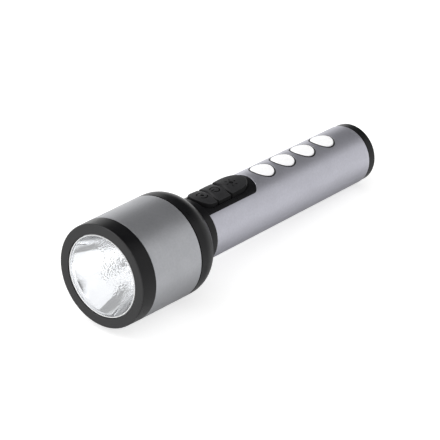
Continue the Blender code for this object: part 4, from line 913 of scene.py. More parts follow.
def make_mirror(name):
    """Vacuum plated bowl: a clean mirror that turns to fine orange peel near its throat."""
    material, tree, shader = new_material(name)
    space = torch_space(tree)
    parts = add_node(tree, "ShaderNodeSeparateXYZ", {0: space}).outputs
    flat = add_node(tree, "ShaderNodeCombineXYZ", {1: parts[1], 2: parts[2]}).outputs[0]
    reach = add_node(tree, "ShaderNodeVectorMath", {0: flat}, operation="LENGTH").outputs["Value"]
    peel_share = spread(tree, reach, 17.0 * MM, 13.5 * MM, 0.0, 1.0)
    peel = add_node(tree, "ShaderNodeTexVoronoi", {"Vector": space, "Scale": 1300.0},
                    feature="SMOOTH_F1").outputs["Distance"]
    soft = add_node(tree, "ShaderNodeTexNoise", {"Vector": space, "Scale": 260.0, "Detail": 3.0}).outputs[0]
    marks = use_effect(tree, handling_marks(), smudges=0.6, scratches=0.2)
    height = maths(tree, "MULTIPLY", peel, peel_share)
    height = maths(tree, "MULTIPLY_ADD", soft, 0.10, height)
    base = mixed(tree, marks["Smudge"], colour((0.90, 0.905, 0.915)), colour((0.84, 0.845, 0.86)))
    rough = maths(tree, "MULTIPLY_ADD", marks["Smudge"], 0.04, 0.05)
    set_surface(tree, shader, base, rough, height, 0.14 * MM, metallic=1.0)
    return material


def make_clear_lens(name):
    """Clear polished polycarbonate with a little dust and hairline marks."""
    material, tree, shader = new_material(name)
    marks = use_effect(tree, handling_marks(), smudges=0.5, scratches=0.4)
    grain = use_effect(tree, fine_grain(), grain_size=0.4 * MM)
    rough = maths(tree, "MULTIPLY_ADD", marks["Scratch"], 0.10, 0.012)
    rough = maths(tree, "MULTIPLY_ADD", marks["Smudge"], 0.02, rough)
    base = mixed(tree, marks["Smudge"], colour((0.985, 0.99, 0.995)), colour((0.96, 0.965, 0.97)))
    set_surface(tree, shader, base, rough, grain["Tone"], 0.001 * MM, IOR=1.49, metallic=0.0)
    shader.inputs["Transmission Weight"].default_value = 1.0
    return material


def make_milky_lens(name):
    """Milky lamp lens: a soft white that lets light spread inside it."""
    material, tree, shader = new_material(name)
    white = finishes_of().lamp
    grain = use_effect(tree, fine_grain(), grain_size=0.25 * MM)
    marks = use_effect(tree, handling_marks(), smudges=0.8, scratches=0.4)
    dust = use_effect(tree, settled_dust(), amount=0.25)["Dust"]
    base = mixed(tree, grain["Tone"], colour(white, 0.985), colour(white, 1.0))
    base = mixed(tree, maths(tree, "MULTIPLY", marks["Smudge"], 0.2), base, colour((0.86, 0.86, 0.87)))
    base = mixed(tree, dust, base, colour((0.6, 0.6, 0.6)))
    rough = maths(tree, "MULTIPLY_ADD", marks["Smudge"], 0.10, 0.24)
    set_surface(tree, shader, base, rough, grain["Height"], 0.004 * MM, IOR=1.49)
    shader.inputs["Subsurface Weight"].default_value = 0.35
    shader.inputs["Subsurface Radius"].default_value = (1.0, 1.0, 1.0)
    shader.inputs["Subsurface Scale"].default_value = 1.2 * MM
    tree.links.new(base, shader.inputs["Emission Color"])
    shader.inputs["Emission Strength"].default_value = 0.14
    return material


def make_solder_mask(name):
    """Circuit board: tracks under green solder mask, tinned pads, and glass weave on its edges."""
    material, tree, shader = new_material(name)
    green = finishes_of().board
    space = torch_space(tree)
    cells = add_node(tree, "ShaderNodeTexVoronoi", {"Vector": space, "Scale": 320.0, "Randomness": 0.35},
                     feature="DISTANCE_TO_EDGE", distance="EUCLIDEAN").outputs["Distance"]
    tracks = spread(tree, cells, 0.10, 0.06)
    dots = add_node(tree, "ShaderNodeTexVoronoi", {"Vector": space, "Scale": 420.0, "Randomness": 0.2}
                    ).outputs["Distance"]
    pads = spread(tree, dots, 0.20, 0.16)
    weave = add_node(tree, "ShaderNodeTexWave", {"Vector": space, "Scale": 900.0, "Distortion": 1.0}
                     ).outputs[0]
    grain = use_effect(tree, fine_grain(), grain_size=0.2 * MM)
    base = mixed(tree, tracks, colour(green, 1.0), colour(green, 1.9))
    base = mixed(tree, maths(tree, "MULTIPLY", weave, 0.12), base, colour(green, 0.5))
    base = mixed(tree, pads, base, colour((0.72, 0.70, 0.64)))
    rough = maths(tree, "MULTIPLY_ADD", grain["Tone"], 0.1, 0.3)
    height = maths(tree, "MULTIPLY_ADD", pads, 1.0, tracks)
    set_surface(tree, shader, base, rough, height, 0.03 * MM)
    return material


def make_cell_sleeve(name):
    """Shrunk sleeve of a cell: two plain bands under gloss, the sleeve's colour and steel past 162 mm along
    the torch.
    """
    material, tree, shader = new_material(name)
    tone = finishes_of().cell
    parts = add_node(tree, "ShaderNodeSeparateXYZ", {0: torch_space(tree)}).outputs
    grain = use_effect(tree, fine_grain(), grain_size=0.3 * MM)
    marks = use_effect(tree, handling_marks(), smudges=1.0, scratches=1.0)
    step = maths(tree, "GREATER_THAN", parts[0], 162.0 * MM)
    base = mixed(tree, step, colour(tone), colour((0.62, 0.60, 0.56)))
    base = mixed(tree, maths(tree, "MULTIPLY", grain["Tone"], 0.25), base, colour(tone, 0.7))
    base = mixed(tree, marks["Scratch"], base, colour((0.5, 0.5, 0.5)))
    rough = maths(tree, "MULTIPLY_ADD", marks["Smudge"], 0.15, 0.26)
    set_surface(tree, shader, base, rough, grain["Height"], 0.02 * MM)
    return material


def make_plain(name, low, high, grain, rough, depth, marks=None, tint=None, dust=None, glow=0.0, **plain):
    """A simple finish: grain between two colours, with smudges, dust and a painted glow where they are
    given.

    rough is how much the roughness varies and where it starts; grain and depth are in millimetres.
    """
    material, tree, shader = new_material(name)
    grains = use_effect(tree, fine_grain(), grain_size=grain * MM)
    varies = grains["Tone"]
    base = mixed(tree, grains["Tone"], colour(low), colour(high))
    if marks:
        varies = use_effect(tree, handling_marks(), smudges=marks[0], scratches=marks[1])["Smudge"]
    if tint:
        base = mixed(tree, maths(tree, "MULTIPLY", varies, tint[0]), base, colour(tint[1:]))
    if dust:
        settled = use_effect(tree, settled_dust(), amount=dust[0])["Dust"]
        base = mixed(tree, settled, base, colour(dust[1:]))
    varied = maths(tree, "MULTIPLY_ADD", varies, *rough)
    set_surface(tree, shader, base, varied, grains["Height"], depth * MM, **plain)
    # Painted glow: the finish lights itself with its own colour, though it is no lamp.
    if glow:
        tree.links.new(base, shader.inputs["Emission Color"])
        shader.inputs["Emission Strength"].default_value = glow
    return material


PLAIN_FINISHES = {
    "black_rubber": {"low": (0.016, 0.016, 0.017), "high": (0.030, 0.030, 0.031), "grain": 0.12,
                     "rough": (0.12, 0.55), "depth": 0.02, "dust": (0.6, 0.18, 0.17, 0.16)},
    "frosted_edge": {"low": (0.84, 0.845, 0.85), "high": (0.92, 0.925, 0.93), "grain": 0.15,
                     "rough": (0.1, 0.45), "depth": 0.008, "marks": (0.8, 0.5), "IOR": 1.49},
    # frosted_dome and white_ceramic glow as painted light that lifts the LED in the reflector's dark throat.
    "frosted_dome": {"low": (0.90, 0.90, 0.86), "high": (0.95, 0.95, 0.92), "grain": 0.1,
                     "rough": (0.1, 0.3), "depth": 0.004, "glow": 0.6, "IOR": 1.45},
    "led_yellow": {"low": (0.80, 0.62, 0.12), "high": (0.92, 0.80, 0.28), "grain": 0.08,
                   "rough": (0.15, 0.35), "depth": 0.01, "coat_weight": 0.6},
    "white_ceramic": {"low": (0.80, 0.80, 0.78), "high": (0.88, 0.88, 0.86), "grain": 0.1,
                      "rough": (0.15, 0.4), "depth": 0.008, "glow": 0.5},
    "white_board": {"low": (0.80, 0.80, 0.79), "high": (0.87, 0.87, 0.86), "grain": 0.2,
                    "rough": (0.1, 0.28), "depth": 0.01, "dust": (0.2, 0.55, 0.54, 0.52)},
    "spring_steel": {"low": (0.58, 0.57, 0.55), "high": (0.70, 0.69, 0.67), "grain": 0.1,
                     "rough": (0.18, 0.20), "depth": 0.008, "marks": (1.0, 1.0),
                     "tint": (0.5, 0.42, 0.39, 0.35), "metallic": 1.0},
    "brass": {"low": (0.74, 0.56, 0.26), "high": (0.82, 0.66, 0.34), "grain": 0.12,
              "rough": (0.2, 0.22), "depth": 0.008, "marks": (1.0, 1.0),
              "tint": (0.6, 0.38, 0.24, 0.10), "metallic": 1.0},
    "wire_red": {"low": (0.42, 0.015, 0.012), "high": (0.60, 0.03, 0.025), "grain": 0.15,
                 "rough": (0.15, 0.38), "depth": 0.02, "marks": (1.0, 0.6)},
    "wire_black": {"low": (0.014, 0.014, 0.015), "high": (0.03, 0.03, 0.032), "grain": 0.15,
                   "rough": (0.15, 0.38), "depth": 0.02, "marks": (1.0, 0.6)},
}
FINISH_MAKERS = {
    "grey_aluminium": lambda name: make_anodised(name, finishes_of().aluminium),
    # head_aluminium: the darker, painted-shade copy of the anodised grey.
    "head_aluminium": lambda name: make_anodised(name, finishes_of().head_aluminium),
    "bare_aluminium": make_turned_metal,
    "black_plastic": make_satin_plastic,
    "key_rubber": make_key_rubber,
    # key_wall: the keys' sides and sunk signs, painted darker as shade.
    "key_wall": make_key_wall_painted_shade,
    "bezel_plastic": make_bezel_plastic,
    # recess_plastic: painted shade in the groove behind the head's sleeve.
    "recess_plastic": make_recess_painted_shade,
    "bright_chrome": make_mirror,
    "clear_plastic": make_clear_lens,
    "diffuser_plastic": make_milky_lens,
    "circuit_board": make_solder_mask,
    "cell_wrap": make_cell_sleeve,
}


def finish(name):
    """The finish of that name, made the first time it is asked for."""
    label = "finish_" + name
    material = bpy.data.materials.get(label)
    if material:
        return material
    if name in PLAIN_FINISHES:
        return make_plain(label, **PLAIN_FINISHES[name])
    return FINISH_MAKERS[name](label)


# Operators, one for each piece or group of like pieces

class TORCH_OT_bezel(bpy.types.Operator):
    """Make the bezel ring in front of the lens"""

    bl_idname = "torch.bezel"
    bl_label = "Bezel Ring"

    def execute(self, context):
        size = shapes()
        small = size.edge_round
        corners = [
            (0.0, LIP_RADIUS, 0.35 * MM),
            (0.0, BEZEL_FRONT_RADIUS, size.bezel_round),
            (BEZEL_BACK, HEAD_RADIUS, small),
            (BEZEL_BACK, BEZEL_BORE, small),
            (LIP_THICKNESS, BEZEL_BORE, small),
            (LIP_THICKNESS, LIP_RADIUS, small),
        ]
        turned_piece("bezel_ring_smooth", corners, "torch",
                     ["black_plastic", "bezel_plastic"], ["bezel_ring"])
        return {"FINISHED"}


class TORCH_OT_optics(bpy.types.Operator):
    """Make the front lens, its gasket, the reflector and the main light"""

    bl_idname = "torch.optics"
    bl_label = "Lens, Reflector and Light"

    def execute(self, context):
        self.make_lens()
        self.make_reflector()
        self.make_light()
        return {"FINISHED"}

    def make_lens(self):
        boss_front = 0.35 * MM
        corners = [
            (boss_front, 0.0, 0.0),
            (boss_front, LENS_FACE_RADIUS, 0.06 * MM),
            (LENS_FRONT, LENS_FACE_RADIUS, 0.06 * MM),
            (LENS_FRONT, LENS_RADIUS, 0.2 * MM),
            (LENS_BACK, LENS_RADIUS, 0.1 * MM),
            (LENS_BACK, 0.0, 0.0),
        ]
        turned_piece("front_lens_polished", corners, "torch", ["clear_plastic"],
                     ["front_lens"])
        edge = [(boss_front, LENS_FACE_RADIUS + 0.02 * MM, 0.06 * MM),
                (boss_front, LENS_BOSS_RADIUS, 0.1 * MM),
                (LENS_FRONT - 0.02 * MM, LENS_BOSS_RADIUS, 0.06 * MM),
                (LENS_FRONT - 0.02 * MM, LENS_FACE_RADIUS + 0.02 * MM, 0.06 * MM)]
        turned_piece("front_lens_frosted_edge", edge, "torch", ["frosted_edge"])
        inner = LENS_RADIUS - 1.6 * MM
        gasket = [(3.3 * MM, inner, 0.2 * MM), (3.3 * MM, LENS_RADIUS, 0.2 * MM),
                  (4.1 * MM, LENS_RADIUS, 0.2 * MM), (4.1 * MM, inner, 0.2 * MM)]
        turned_piece("lens_gasket_round", gasket, "torch", ["black_rubber"], ["lens_gasket"])

    def make_reflector(self):
        size = shapes()
        depth = REFLECTOR_THROAT - REFLECTOR_MOUTH
        slope = (REFLECTOR_MOUTH_RADIUS ** 2 - REFLECTOR_THROAT_RADIUS ** 2) / depth
        steps = 56
        bowl = []
        for i in range(steps + 1):
            x = depth * (1 - (1 - i / steps) ** 1.7)
            bowl.append((REFLECTOR_MOUTH + x, math.sqrt(REFLECTOR_MOUTH_RADIUS ** 2 - slope * x)))
        flange_back = REFLECTOR_MOUTH + 1.2 * MM
        back = [(x, r + REFLECTOR_WALL) for x, r in reversed(bowl) if x > flange_back]
        join = math.sqrt(REFLECTOR_MOUTH_RADIUS ** 2 - slope * 1.2 * MM) + REFLECTOR_WALL
        rim = [(flange_back, join), (flange_back, LENS_RADIUS), (REFLECTOR_MOUTH, LENS_RADIUS),
               (REFLECTOR_MOUTH, COLLAR_RADIUS), (COLLAR_FRONT, COLLAR_RADIUS),
               (COLLAR_FRONT, REFLECTOR_MOUTH_RADIUS)]
        profile = [(x, r, 0.0) for x, r in bowl + back + rim]
        inner = {round(x, 7): (x - REFLECTOR_MOUTH) / depth for x, r in bowl}

        def wave(x, radius, angle):
            share = inner.get(round(x, 7))
            if share is None or radius > REFLECTOR_MOUTH_RADIUS:
                return 0.0
            swell = math.sin(math.pi * min(1.0, share * 1.15)) ** 1.5
            return size.wave_depth * swell * math.sin(size.bowl_waves * angle + 5.0 * share)

        bm = new_bmesh()
        add_turned(bm, profile, size.round_steps * 2, wave)
        place_piece("reflector_bowl", mesh_from(bm, "reflector_bowl"), "torch",
                    ["bright_chrome"], ["reflector"])

    def make_light(self):
        # The LED's dome, base and seat carry a painted glow, lifting the dark throat of the reflector.
        base = rounded([(-2.5 * MM, -2.5 * MM, 0.25 * MM), (2.5 * MM, -2.5 * MM, 0.25 * MM),
                        (2.5 * MM, 2.5 * MM, 0.25 * MM), (-2.5 * MM, 2.5 * MM, 0.25 * MM)])
        self.add_block("main_led_base", [point[:2] for point in base], LED_BASE_FRONT,
                       LED_BASE_FRONT + 0.8 * MM, "white_ceramic", ["main_led"])
        chip = 1.1 * MM
        self.add_block("main_led_chip", [(-chip, -chip), (chip, -chip), (chip, chip), (-chip, chip)],
                       LED_BASE_FRONT - 0.25 * MM, LED_BASE_FRONT - 0.01 * MM, "led_yellow")
        radius = 2.3 * MM
        steps = 20
        dome = [(LED_BASE_FRONT - radius * math.cos(a), radius * math.sin(a), 0.0)
                for a in (math.pi / 2 * i / steps for i in range(steps + 1))]
        dome += [(LED_BASE_FRONT - 0.005 * MM, 0.0, 0.0)]
        turned_piece("main_led_dome", dome, "torch", ["frosted_dome"], steps=64)
        seat_bore = 2.4 * MM
        seat_radius = REFLECTOR_THROAT_RADIUS + 1.0 * MM
        seat = [(REFLECTOR_THROAT + 0.03 * MM, seat_bore, 0.05 * MM),
                (REFLECTOR_THROAT + 0.03 * MM, seat_radius, 0.05 * MM),
                (LED_BASE_FRONT - 0.02 * MM, seat_radius, 0.05 * MM),
                (LED_BASE_FRONT - 0.02 * MM, seat_bore, 0.05 * MM)]
        turned_piece("main_led_seat", seat, "torch", ["white_ceramic"], steps=64)

    def add_block(self, name, sides, front, back, finish_name, nodes=()):
        """A straight block across the axis; sides holds its (y, z) corners."""
        bm = new_bmesh()
        rings = [put_ring(bm, [(x, y, z) for y, z in sides]) for x in (front, back)]
        band(bm, *rings)
        bm.faces.new(rings[0])
        bm.faces.new(rings[1][::-1])
        place_piece(name, mesh_from(bm, name), "torch", [finish_name], nodes)


class TORCH_OT_head(bpy.types.Operator):
    """Make the aluminium head sleeve and the black housing with its rounded shoulder"""

    bl_idname = "torch.head"
    bl_label = "Head Sleeve and Housing"

    def execute(self, context):
        size = shapes()
        small = size.edge_round
        sleeve = [
            (HEAD_SLEEVE_FRONT, HEAD_SLEEVE_BORE, small),
            (HEAD_SLEEVE_FRONT, HEAD_RADIUS, size.cut_edge),
            (HEAD_SLEEVE_BACK, HEAD_BACK_RADIUS, size.cut_edge),
            (HEAD_SLEEVE_BACK, HEAD_SLEEVE_BORE, small),
        ]
        # The head sleeve takes the darker copy of the anodised grey, as painted shade.
        turned_piece("head_sleeve_smooth", sleeve, "torch", ["head_aluminium"],
                     ["head_sleeve"])
        centre = HEAD_BACK_RADIUS - SHOULDER_ROUND
        steps = 30
        shoulder = []
        for i in range(steps + 1):
            angle = SHOULDER_SWEEP * i / steps
            shoulder.append((SHOULDER_REST + SHOULDER_ROUND * math.sin(angle),
                             centre + SHOULDER_ROUND * math.cos(angle), 0.0))
        neck_bore = SPIGOT_RADIUS + FIT
        profile = [
            (HOUSING_FRONT, HEAD_CAVITY_RADIUS, small),
            (HOUSING_FRONT, LENS_RADIUS, small),
            (HEAD_SLEEVE_FRONT, LENS_RADIUS, 0.0),
            (HEAD_SLEEVE_FRONT, HOUSING_TUBE_RADIUS, 0.0),
            (SHOULDER_FRONT, HOUSING_TUBE_RADIUS, 0.0),
            (SHOULDER_FRONT, HEAD_BACK_RADIUS, 0.1 * MM),
            *shoulder,
            (HOUSING_BACK, neck_bore, small),
            (BULKHEAD_BACK, neck_bore, 0.0),
            (BULKHEAD_BACK, BULKHEAD_HOLE_RADIUS, 0.0),
            (BULKHEAD_FRONT, BULKHEAD_HOLE_RADIUS, 0.0),
            (BULKHEAD_FRONT, HEAD_CAVITY_RADIUS, 0.0),
        ]
        # Faces looking at the front, such as the groove's wall behind the sleeve, take the recess finish:
        # painted shade.
        turned_piece("head_housing_smooth", profile, "torch",
                     ["black_plastic", "recess_plastic"], ["head_housing"])
        return {"FINISHED"}


class TORCH_OT_handle(bpy.types.Operator):
    """Make the handle's aluminium sleeve and the black core with its neck and tongue"""

    bl_idname = "torch.handle"
    bl_label = "Handle Sleeve and Core"

    def execute(self, context):
        size = shapes()
        edge = size.edge_round
        steps = size.round_steps
        holes = [lambda grow, x=x: circle((x, 0.0), LAMP_HOLE_RADIUS + grow) for x in LAMP_PLACES]
        bores = [lambda grow, x=x: circle((x, 0.0), LAMP_LIP_BORE + grow) for x in LAMP_PLACES]
        bm = new_bmesh()
        add_cut_tube(bm, (HANDLE_SLEEVE_FRONT, HANDLE_SLEEVE_BACK), HANDLE_RADIUS, HANDLE_SLEEVE_BORE,
                     lambda grow, front: notch_outline(-grow, front), holes, size.cut_edge, steps)
        place_piece("handle_sleeve_smooth", mesh_from(bm, "handle_sleeve_smooth", round_normals=True),
                    "torch", ["grey_aluminium"], ["handle_sleeve"], weighted=False)
        bm = new_bmesh()
        neck = [
            (SPIGOT_FRONT, SPIGOT_BORE, edge),
            (SPIGOT_FRONT, SPIGOT_RADIUS, edge),
            (NECK_FRONT, SPIGOT_RADIUS, 0.0),
            (NECK_FRONT, NECK_RADIUS, 0.4 * MM),
            (NECK_BACK, NECK_RADIUS, 0.15 * MM),
            (NECK_BACK, CORE_BORE, 0.0),
            (NECK_FRONT + 3.6 * MM, CORE_BORE, 0.0),
            (NECK_FRONT + 3.6 * MM, SPIGOT_BORE, 0.0),
        ]
        add_turned(bm, rounded(neck), steps)
        add_cut_tube(bm, (NECK_BACK, CORE_BACK), CORE_RADIUS, CORE_BORE,
                     lambda grow, front: notch_outline(FIT - grow, front), bores, edge, steps)
        for x in LAMP_PLACES:
            self.add_lip(bm, x, edge)
        add_wrapped_plate(bm, lambda grow: notch_outline(FIT - grow, TONGUE_FRONT),
                          lambda grow: pad_outline(FIT + grow), TONGUE_RADIUS, CORE_BORE, edge)
        place_piece("handle_core_smooth", mesh_from(bm, "handle_core_smooth", round_normals=True),
                    "torch", ["black_plastic"], ["handle_core"], weighted=False)
        return {"FINISHED"}

    def add_lip(self, bm, x, edge):
        """The raised black lip round one lamp, with a top that follows the tube."""
        soft = 0.1 * MM
        foot = CORE_RADIUS - edge
        levels = [(LAMP_LIP_RADIUS, foot), (LAMP_LIP_RADIUS, LAMP_LIP_TOP_RADIUS - soft),
                  (LAMP_LIP_RADIUS - soft, LAMP_LIP_TOP_RADIUS), (LAMP_LIP_BORE + soft, LAMP_LIP_TOP_RADIUS),
                  (LAMP_LIP_BORE, LAMP_LIP_TOP_RADIUS - soft), (LAMP_LIP_BORE, foot)]
        rings = [put_ring(bm, [lifted(px, py, height) for px, py in circle((x, 0.0), radius)])
                 for radius, height in levels]
        for i in range(len(rings)):
            band(bm, rings[i - 1], rings[i])


def arc_sign(centre, radius, width, start, sweep, steps=28):
    """A curved stroke with square ends, in plan."""
    outer = []
    inner = []
    for i in range(steps + 1):
        angle = start + sweep * i / steps
        for points, r in ((outer, radius + width / 2), (inner, radius - width / 2)):
            points.append((centre[0] + r * math.cos(angle), centre[1] + r * math.sin(angle)))
    return outer + inner[::-1]


def bar_sign(centre, length, width, angle):
    """A short straight stroke with rounded ends, in plan."""
    along = Vector((math.cos(angle), math.sin(angle)))
    across = along.orthogonal()
    middle = Vector(centre)
    points = []
    for end, first in ((1.0, -math.pi / 2), (-1.0, math.pi / 2)):
        for i in range(9):
            turn = first + math.pi * i / 8
            place = middle + along * end * (length - width) / 2
            place += (along * math.cos(turn) + across * math.sin(turn)) * width / 2
            points.append((place.x, place.y))
    return points


def signs_for(key, middle):
    """Generic signs sunk into each key."""
    stroke = 0.6 * MM
    if key == "front":
        middle = (middle[0] + 1.0 * MM, middle[1])
        return [arc_sign(middle, 2.6 * MM, stroke, math.radians(-150.0), math.radians(120.0)),
                arc_sign(middle, 2.6 * MM, stroke, math.radians(30.0), math.radians(120.0)),
                circle(middle, 0.9 * MM, 24)]
    if key == "middle":
        middle = (middle[0] - 0.4 * MM, middle[1])
        return [arc_sign(middle, 2.3 * MM, stroke, math.radians(-150.0), math.radians(300.0), 48),
                bar_sign((middle[0] - 1.7 * MM, middle[1]), 2.4 * MM, stroke, 0.0)]
    centre = (middle[0] - 2.8 * MM, middle[1] - 1.0 * MM)
    signs = [circle(centre, 1.15 * MM, 32)]
    for i in range(6):
        angle = math.pi * i / 3
        place = (centre[0] + 2.55 * MM * math.cos(angle), centre[1] + 2.55 * MM * math.sin(angle))
        signs.append(bar_sign(place, 1.35 * MM, 0.6 * MM, angle))
    return signs


class TORCH_OT_keys(bpy.types.Operator):
    """Make the three keys with their sloped edges and sunk signs"""

    bl_idname = "torch.keys"
    bl_label = "Keys"

    def execute(self, context):
        half = KEY_SPLIT / 2
        spans = (("front", KEY_NOSE, KEY_SPLITS[0] - half, KEY_TOP_RADIUS),
                 ("middle", KEY_SPLITS[0] + half, KEY_SPLITS[1] - half, KEY_TOP_RADIUS),
                 ("rear", KEY_SPLITS[1] + half, KEY_TAIL, KEY_TOP_RADIUS + KEY_REAR_EXTRA_RISE))
        for name, start, end, top_radius in spans:
            self.make_key(name, start, end, top_radius)
        return {"FINISHED"}

    def key_outline(self, start, end):
        """Plan outline of one key, with its corners at the splits softened."""
        whole = pad_outline(0.0, 40, KEY_NOSE_GAP)
        skew = shapes().split_skew
        lean = skew * KEY_HALF_WIDTH
        kept = [(x, y, 0.0) for x, y in whole if start < x - skew * y < end]
        tail_side = end >= KEY_TAIL
        nose_side = start <= KEY_NOSE
        near = sorted(p for p in kept if p[1] < 0.0)
        far = sorted((p for p in kept if p[1] >= 0.0), reverse=True)
        soft = 0.5 * MM
        corners = []
        corners += [] if nose_side else [(start - lean, -KEY_HALF_WIDTH, soft)]
        corners += near
        corners += [] if tail_side else [(end - lean, -KEY_HALF_WIDTH, soft),
                                         (end + lean, KEY_HALF_WIDTH, soft)]
        corners += far
        corners += [] if nose_side else [(start + lean, KEY_HALF_WIDTH, soft)]
        return [(x, y) for x, y, wear in rounded(corners)]

    def make_key(self, name, start, end, top_radius):
        size = shapes()
        slope = size.key_slope
        outline = self.key_outline(start, end)
        along = []
        for i, (x, y) in enumerate(outline):
            after = outline[(i + 1) % len(outline)]
            facing = Vector((abs(y - after[1]), abs(x - after[0]))).normalized()
            reach = [px - size.split_skew * py for px, py in ((x, y), after)]
            at_split = min(reach) - start < 0.6 * MM and start > KEY_NOSE
            at_split = at_split or (end - max(reach) < 0.6 * MM and end < KEY_TAIL)
            if facing.x > 0.9 and at_split:
                along.append(0.8)
            elif min(x, after[0]) > KEY_TAIL - KEY_TAIL_LENGTH:
                along.append(math.hypot(facing.x * size.key_tail_slope / slope, facing.y))
            else:
                along.append(1.0)
        profile = rounded([(0.0, KEY_SHOULDER_RADIUS - 2.0 * MM, 0.0), (0.0, KEY_SHOULDER_RADIUS, 0.2 * MM),
                           (slope, top_radius, 0.25 * MM),
                           (slope + 0.8 * MM, top_radius, 0.0)], closed=False)
        middle_x = (start + end) / 2
        bm = new_bmesh()
        rings = [put_ring(bm, [(x, y, KEY_UNDERSIDE) for x, y in outline])]
        heights = [0.0]
        top = outline
        for reach, radius, wear in profile[1:-1]:
            top = inset(outline, [reach * share for share in along])
            rise = max(0.0, (radius - KEY_SHOULDER_RADIUS) / (top_radius - KEY_SHOULDER_RADIUS))
            rings.append(put_ring(bm, [self.crowned(x, y, radius, rise, start, end) for x, y in top],
                                  wear * 0.9))
            heights.append(radius)
        # Side faces below the top edge take the second finish, the painted shade of the gaps.
        painted_shade_faces = bm.faces.layers.int["finish"]
        bm.faces.new(rings[0])
        for low, high, height in zip(rings, rings[1:], heights[1:]):
            made = len(bm.faces)
            band(bm, low, high)
            for face in list(bm.faces)[made:]:
                at_tail = face.calc_center_median().x > KEY_TAIL - KEY_TAIL_LENGTH / 2
                face[painted_shade_faces] = int(height < top_radius - (0.3 * MM if at_tail else 0.03 * MM))
        self.cover(bm, top, signs_for(name, (middle_x, 0.0)), top_radius, start, end)
        self.add_nub(bm, middle_x)
        mesh = mesh_from(bm, "key_%s_soft" % name, 35.0)
        place_piece("key_%s_soft" % name, mesh, name + "_key", ["key_rubber", "key_wall"],
                    ["key_" + name], weighted=False)

    def crowned(self, x, y, radius, rise, start, end):
        """A point of the key's top, which swells a little along the key; rise is 1 at the very top."""
        place = lifted(x, y, radius)
        share = (2 * (x - shapes().split_skew * y) - start - end) / (end - start)
        place.z += KEY_CROWN * rise * (1.0 - share * share)
        return place

    def cover(self, bm, rim, signs, top_radius, start, end):
        """The key's top, with the signs sunk into it."""
        depth = shapes().icon_depth
        painted_shade_faces = bm.faces.layers.int["finish"]
        points = [Vector(p) for p in rim]
        edges = [(i, (i + 1) % len(rim)) for i in range(len(rim))]
        for sign in signs:
            first = len(points)
            points += [Vector(p) for p in sign]
            edges += [(first + i, first + (i + 1) % len(sign)) for i in range(len(sign))]
        step = 0.7 * MM
        columns = int((end - start) / step)
        rows = int(2 * KEY_HALF_WIDTH / step)
        for i in range(1, columns):
            for k in range(1, rows):
                place = (start + (end - start) * i / columns, KEY_HALF_WIDTH * (2 * k / rows - 1))
                if inside(place, rim):
                    points.append(Vector(place))
        places, faces = divided(points, edges)
        made = {}

        def vertex(index, sunk):
            if (index, sunk) not in made:
                place = self.crowned(places[index].x, places[index].y, top_radius, 1.0, start, end)
                place.z -= depth if sunk else 0.0
                made[index, sunk] = bm.verts.new(place)
            return made[index, sunk]

        sides = {}
        for face in faces:
            centre = sum((places[i] for i in face), Vector((0.0, 0.0))) / len(face)
            if not inside(centre, rim):
                continue
            sunk = any(inside(centre, sign) for sign in signs)
            # Sunk sign faces and their walls take the painted shade finish.
            bm.faces.new([vertex(i, sunk) for i in face])[painted_shade_faces] = int(sunk)
            for i in range(len(face)):
                pair = tuple(sorted((face[i - 1], face[i])))
                sides.setdefault(pair, set()).add(sunk)
        for (first, second), found in sides.items():
            if len(found) == 2:
                bm.faces.new((vertex(first, False), vertex(second, False), vertex(second, True),
                              vertex(first, True)))[painted_shade_faces] = 1

    def add_nub(self, bm, x):
        """The stub under the key that pushes the switch."""
        nub = [(KEY_UNDERSIDE - 1.9 * MM, 0.0, 0.0), (KEY_UNDERSIDE - 1.9 * MM, 2.0 * MM, 0.15 * MM),
               (KEY_UNDERSIDE + 0.2 * MM, 2.0 * MM, 0.0), (KEY_UNDERSIDE + 0.2 * MM, 0.0, 0.0)]
        add_turned(bm, rounded(nub), 40, centre=(x, 0.0), upright=True)


class TORCH_OT_side_lamps(bpy.types.Operator):
    """Make the four milky side lamp lenses"""

    bl_idname = "torch.side_lamps"
    bl_label = "Side Lamps"

    def execute(self, context):
        for number, x in enumerate(LAMP_PLACES, 1):
            bm = new_bmesh()
            self.add_lens(bm, x)
            name = "side_lens_%d_milky" % number
            place_piece(name, mesh_from(bm, name, 40.0), "torch", ["diffuser_plastic"],
                        ["side_lens_%d" % number], weighted=False)
        return {"FINISHED"}

    def add_lens(self, bm, x):
        """A round lens with a rounded rim, standing a little proud, its top curved like the tube."""
        size = shapes()
        soft = size.lens_round
        steps = 96
        levels = []
        for i in range(7):
            angle = math.pi / 2 * i / 6
            levels.append((LAMP_LENS_RADIUS - soft * (1 - math.cos(angle)), soft * (1 - math.sin(angle))))
        levels += [(LAMP_LENS_RADIUS * share, 0.0) for share in (0.8, 0.6, 0.4, 0.2)]
        foot = circle((x, 0.0), LAMP_LENS_RADIUS, steps)
        rings = [put_ring(bm, [(px, py, LAMP_LENS_BOTTOM) for px, py in foot])]
        top = LAMP_LENS_TOP_RADIUS + size.lens_swell
        for radius, drop in levels:
            rings.append(put_ring(bm, [(px, py, top - drop - py * py / (2 * size.lens_curve))
                                       for px, py in circle((x, 0.0), radius, steps)]))
        for low, high in zip(rings, rings[1:]):
            band(bm, low, high)
        cap_ring(bm, rings[-1], (x, 0.0, top))
        bm.faces.new(rings[0])


